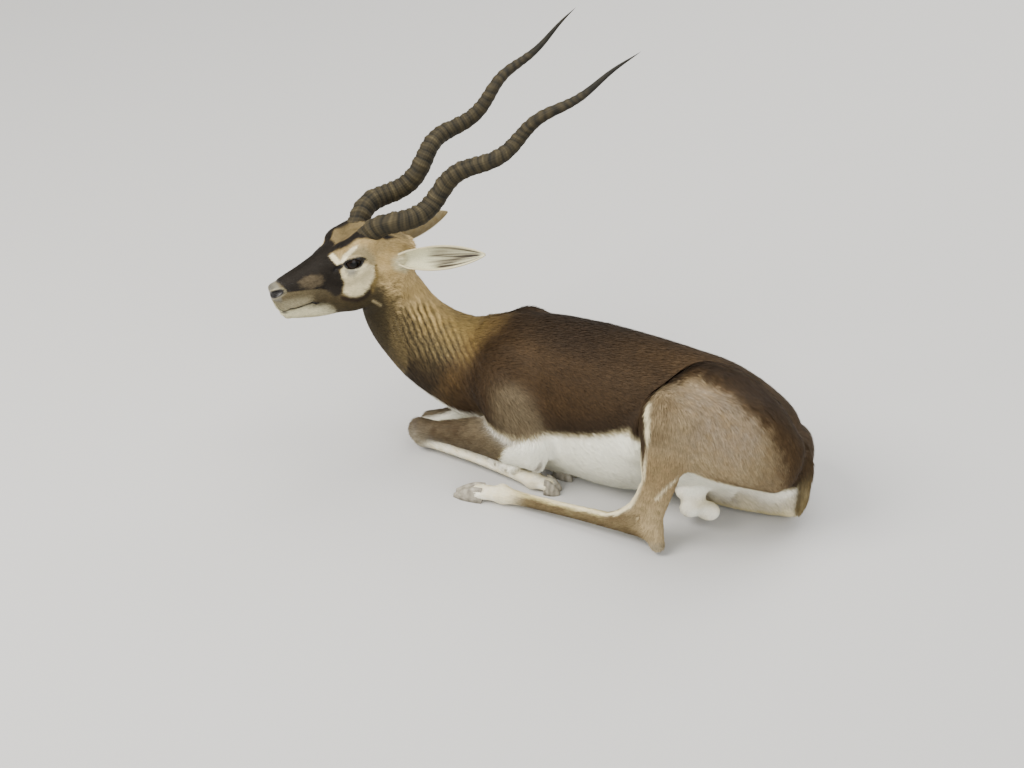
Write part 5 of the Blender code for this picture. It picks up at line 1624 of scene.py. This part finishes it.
def makeHorns():
    s = hornSettings
    finish = hornMaterial()
    for side, sign in (("left", 1.0), ("right", -1.0)):
        edit = bmesh.new()
        rings, values, alongs, charts = [], [], [], []
        for share, centre, across, front, ridge in hornRows():
            radius = s["radius"] * (1.0 - min(max(share, 0.0), 0.9985) ** 1.7) ** 0.88
            ring = []
            for k in range(s["sides"]):
                angle = 2 * math.pi * k / s["sides"]
                strong = 0.75 + 0.45 * max(math.cos(angle), -0.4)
                swell = 0.955 + s["ridge"] * (2.0 * ridge[k] - 0.35) * strong
                around = 1.04 * math.cos(angle) * front + 0.96 * math.sin(angle) * across
                place = centre + radius * swell * around
                place[1] *= sign
                ring.append(edit.verts.new(fromHead(place)))
                values.append(ridge[k] * min(1.0, strong + 0.1))
                alongs.append(share)
                charts.append((math.cos(angle) * 9.0, math.sin(angle) * 9.0, share * 7.0))
            rings.append(ring)
        closeTube(edit, rings)
        mesh = meshFrom(edit, "hornMesh_" + side, closed=True)
        storeValues(mesh, "ridge", np.array(values))
        storeValues(mesh, "hornAlong", np.array(alongs))
        storeValues(mesh, "hornChart", np.array(charts), "FLOAT_VECTOR")
        horn = newPiece("hornSheath_" + side, mesh, finish)
        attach(horn, "root")
        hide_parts("horn_" + side)


earSettings = dict(
    length=0.146, halfWidth=0.0270, thickness=0.0022, root=(0.1980, 0.0330, 0.0110),
    directions={"left": (0.93, 0.34, -0.08), "right": (0.93, 0.36, 0.02)},
    hollows={"left": (-0.30, 0.92, 0.28), "right": (0.05, 0.92, -0.15)}, lengths=56, widths=30,
)


def earMaterial():
    made, tree, shader = newMaterial("earHide")
    fine = noiseOf(tree, objectPlace(tree), 700.0)
    tone = rangeOf(tree, fine, 0.3, 0.7, 0.82, 1.14)
    setInputs(tree, shader, {"Base Color": scaledColour(tree, attributeOf(tree, "coat", "Color"), tone),
                             "Roughness": 0.75})
    addBump(tree, shader, fine, 0.4, 0.0005)
    return made


def earColours(places, share, turn, inside):
    # Hair of the ear's back, and the pale hollow with its dark streaks
    edge = np.abs(turn)
    streak = mottle(np.stack([share * 0.05, turn * 0.25, turn * 0.0], 1), 0.04, 112)
    dark = ramp(0.34, 0.56, share + 0.05 * streak) * ramp(0.98, 0.90, share)
    back = layered(
        places, "greyTan",
        (0.4 + 0.4 * mottle(places, 0.012, 111), "umber"),
        (ramp(0.80, 0.93, edge), "patch"))
    hollow = layered(
        places, "earPale",
        (dark * (0.65 + 0.45 * streak) * ramp(0.97, 0.80, edge), "greyBrown"),
        (dark * ramp(-0.1, 0.7, streak) * ramp(0.93, 0.70, edge), "deepBrown"),
        (ramp(0.86, 1.0, edge), "cream"))
    return np.clip(back * (1 - inside[:, None]) + hollow * inside[:, None], 0.003, 0.95)


def makeEars():
    s = earSettings
    finish = earMaterial()
    for side, sign in (("left", 1.0), ("right", -1.0)):
        along = unit(np.array(s["directions"][side]))
        hollow = np.array(s["hollows"][side])
        hollow = unit(hollow - along * np.dot(hollow, along))
        across = np.cross(along, hollow)
        edit = bmesh.new()
        grid, shares, turns = [], [], []
        for share in np.arange(s["lengths"]) / (s["lengths"] - 1):
            half = s["halfWidth"] * (0.90 + 0.10 * math.sin(math.pi * min(share * 1.6, 1.0) * 0.5))
            half *= ((1.0 - share**2.6) ** 0.85 + 0.03) * (0.58 + 0.42 * float(ramp(0.0, 0.18, share)))
            roll = math.radians(95.0 * (1.0 - share) ** 2.0 + 42.0)
            radius = half / roll
            row = []
            for turn in 2.0 * np.arange(s["widths"] + 1) / s["widths"] - 1.0:
                lift = radius * (0.85 - math.cos(roll * turn)) + 0.004 * math.sin(math.pi * share)
                place = np.array(s["root"]) + along * s["length"] * share + hollow * lift
                place = place + across * radius * math.sin(roll * turn)
                place[1] *= sign
                row.append(edit.verts.new(fromHead(place)))
                shares.append(share)
                turns.append(turn)
            grid.append(row)
        for low, high in zip(grid, grid[1:]):
            for k in range(s["widths"]):
                edit.faces.new((low[k], low[k + 1], high[k + 1], high[k]))
        mesh = meshFrom(edit, "earSheet", closed=True)
        storeValues(mesh, "earShare", np.array(shares))
        storeValues(mesh, "earSide", np.array(turns))
        holder = newObject("holder", mesh)
        thick = holder.modifiers.new("thick", "SOLIDIFY")
        thick.thickness, thick.offset = s["thickness"], 0.0
        mesh = evaluated(holder, "ear_" + side + "_hide")
        bpy.data.objects.remove(holder)
        share, turn = (
            valuesOf(mesh.attributes[name].data, "value", 1)[:, 0] for name in ("earShare", "earSide"))
        changed(mesh, lambda edit: bmesh.ops.recalc_face_normals(edit, faces=edit.faces))
        cupWay = hollow * np.array((1.0, sign, 1.0)) @ axes
        inside = ramp(-0.05, 0.25, normalsOf(mesh) @ cupWay) * ramp(1.0, 0.9, np.abs(turn))
        colours = earColours(placesOf(mesh), share, turn, inside)
        dropValues(mesh, ())
        storeValues(mesh, "coat", colours, "FLOAT_COLOR")
        ear = newPiece("earHide_" + side, mesh, finish)
        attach(ear, "root")
        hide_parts("ear_" + side)


# One claw of a cloven hoof, by share ahead, height and half width, and how far the two stand from the middle
clawRows = ((-0.12, 0.026, 0.0060), (0.25, 0.024, 0.0072), (0.65, 0.016, 0.0066), (1.0, 0.006, 0.0022))
hoofSettings = dict(apart=0.0078, closing=0.0012, sides=15, dark=(0.150, 0.130, 0.098), pale=(0.46, 0.42, 0.33))


def hoofMaterial():
    made, tree, shader = newMaterial("hoofHorn")
    chart = attributeOf(tree, "clawChart", "Vector")
    wave = {"Scale": 3.0, "Distortion": 2.5, "Vector": chart}
    lines = newNode(tree, "ShaderNodeTexWave", wave).outputs["Fac"]
    dust = noiseOf(tree, objectPlace(tree), 160.0, 4.0)
    value = mathOf(tree, "ADD", mathOf(tree, "MULTIPLY", lines, 0.35), rangeOf(tree, dust, 0.3, 0.7, 0.0, 0.55))
    setInputs(tree, shader, {
        "Base Color": colourRamp(tree, value, hoofSettings["dark"], hoofSettings["pale"]),
        "Roughness": rangeOf(tree, dust, 0.3, 0.7, 0.38, 0.62)})
    addBump(tree, shader, lines, 0.4, 0.0004)
    return made


def makeHooves():
    s = hoofSettings
    finish = hoofMaterial()
    for kind, side in (("fore", "left"), ("fore", "right"), ("hind", "left"), ("hind", "right")):
        leg = (foreLegs if kind == "fore" else hindLegs)[side]
        pastern, toe = np.array(leg["pastern"]), np.array(leg["toe"])
        ahead = unit((toe - pastern) * (1.0, 1.0, 0.0))
        across = unit(np.array((0.0, 1.0, 0.0)) - ahead * ahead[1])
        length = np.linalg.norm((toe - pastern)[:2])
        for place, sign in (("outer", -1.0), ("inner", 1.0)):
            edit = bmesh.new()
            rings, chart = [], []
            for share, height, wide in curveThrough(clawRows, 5):
                centre = pastern * (1.0, 1.0, 0.0) + ahead * length * share
                centre = centre + across * sign * (s["apart"] - s["closing"] * share)
                ring = []
                for turn in np.linspace(0.0, math.pi, s["sides"]):
                    lift = (0.0004 + height * max(math.sin(turn), 0.0) ** 0.8) if 0.0 < turn < 3.1 else 0.0
                    spot = centre + across * wide * math.cos(turn)
                    ring.append(edit.verts.new((spot[0], spot[1], lift)))
                    chart.append((share * 0.3, 0.0, lift * 100.0))
                rings.append(ring)
            closeTube(edit, rings)
            mesh = meshFrom(edit, "claw", closed=True)
            storeValues(mesh, "clawChart", np.array(chart), "FLOAT_VECTOR")
            claw = newPiece(f"claw_{kind}_{side}_{place}", mesh, finish)
            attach(claw, "root")
            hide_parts(f"hoof_{kind}_{side}_{place}")


# Floor, lights and the photograph's view
stageSettings = dict(
    floorColour=(0.53, 0.525, 0.515), floorSize=8.0, worldColour=(0.97, 0.97, 0.95), world=0.70, lightAim=0.15)
lightSettings = (
    ("keyLight", (-1.6, -2.0, 2.8), 180.0, 1.9, (1.0, 0.965, 0.91)),
    ("fillLight", (2.4, -2.2, 1.6), 70.0, 2.5, (0.97, 0.98, 1.0)),
    ("topLight", (0.2, 0.6, 3.2), 84.0, 2.4, (1.0, 0.99, 0.96)),
    ("backLight", (0.6, 2.6, 1.8), 46.0, 1.8, (1.0, 0.98, 0.95)),
)
cameraSettings = dict(azimuth=24.0, elevation=33.0, target=(-0.0693, -0.1255, 0.15), distance=4.5, lens=99.67)


def makeStage():
    edit = bmesh.new()
    half = stageSettings["floorSize"] / 2
    edit.faces.new([edit.verts.new((x * half, y * half, 0.0)) for x, y in ((-1, -1), (1, -1), (1, 1), (-1, 1))])
    mesh = meshFrom(edit, "floor")
    made, tree, shader = newMaterial("floorPlain")
    setInputs(tree, shader, {"Base Color": (*stageSettings["floorColour"], 1.0), "Roughness": 0.85})
    mesh.materials.append(made)
    floor = newObject("floor", mesh)
    world = bpy.data.worlds.new("studio")
    bpy.context.scene.world = world
    world.use_nodes = True
    sky = {"Color": (*stageSettings["worldColour"], 1.0), "Strength": stageSettings["world"]}
    setInputs(world.node_tree, world.node_tree.nodes["Background"], sky)
    for name, place, power, size, colour in lightSettings:
        lamp = bpy.data.lights.new(name, "AREA")
        lamp.energy, lamp.size, lamp.color = power, size, colour
        made = newObject(name, lamp)
        made.location = place
        aim = Vector((0.0, 0.0, stageSettings["lightAim"])) - Vector(place)
        made.rotation_euler = aim.to_track_quat("-Z", "Y").to_euler()


def makeCamera():
    s = cameraSettings
    a, e = math.radians(s["azimuth"]), math.radians(s["elevation"])
    back = Vector((math.sin(a) * math.cos(e), -math.cos(a) * math.cos(e), math.sin(e)))
    data = bpy.data.cameras.new("view")
    data.lens, data.sensor_width = s["lens"], 36.0
    data.clip_end = 100.0
    camera = newObject("view", data)
    camera.location = Vector(s["target"]) + back * s["distance"]
    camera.rotation_euler = (-back).to_track_quat("-Z", "Y").to_euler()
    bpy.context.scene.camera = camera


makeStage()
makeCamera()
print("stage: floor, lights and camera")
hide = finishSkin(makeSkinMesh())
print("stage: hide", len(hide.data.vertices), "points")
makeEyes()
makeHorns()
makeEars()
makeHooves()
print("stage: eyes, horns, ears and hooves")
makeCoat(hide, coatMaterial())
print("stage: coat")
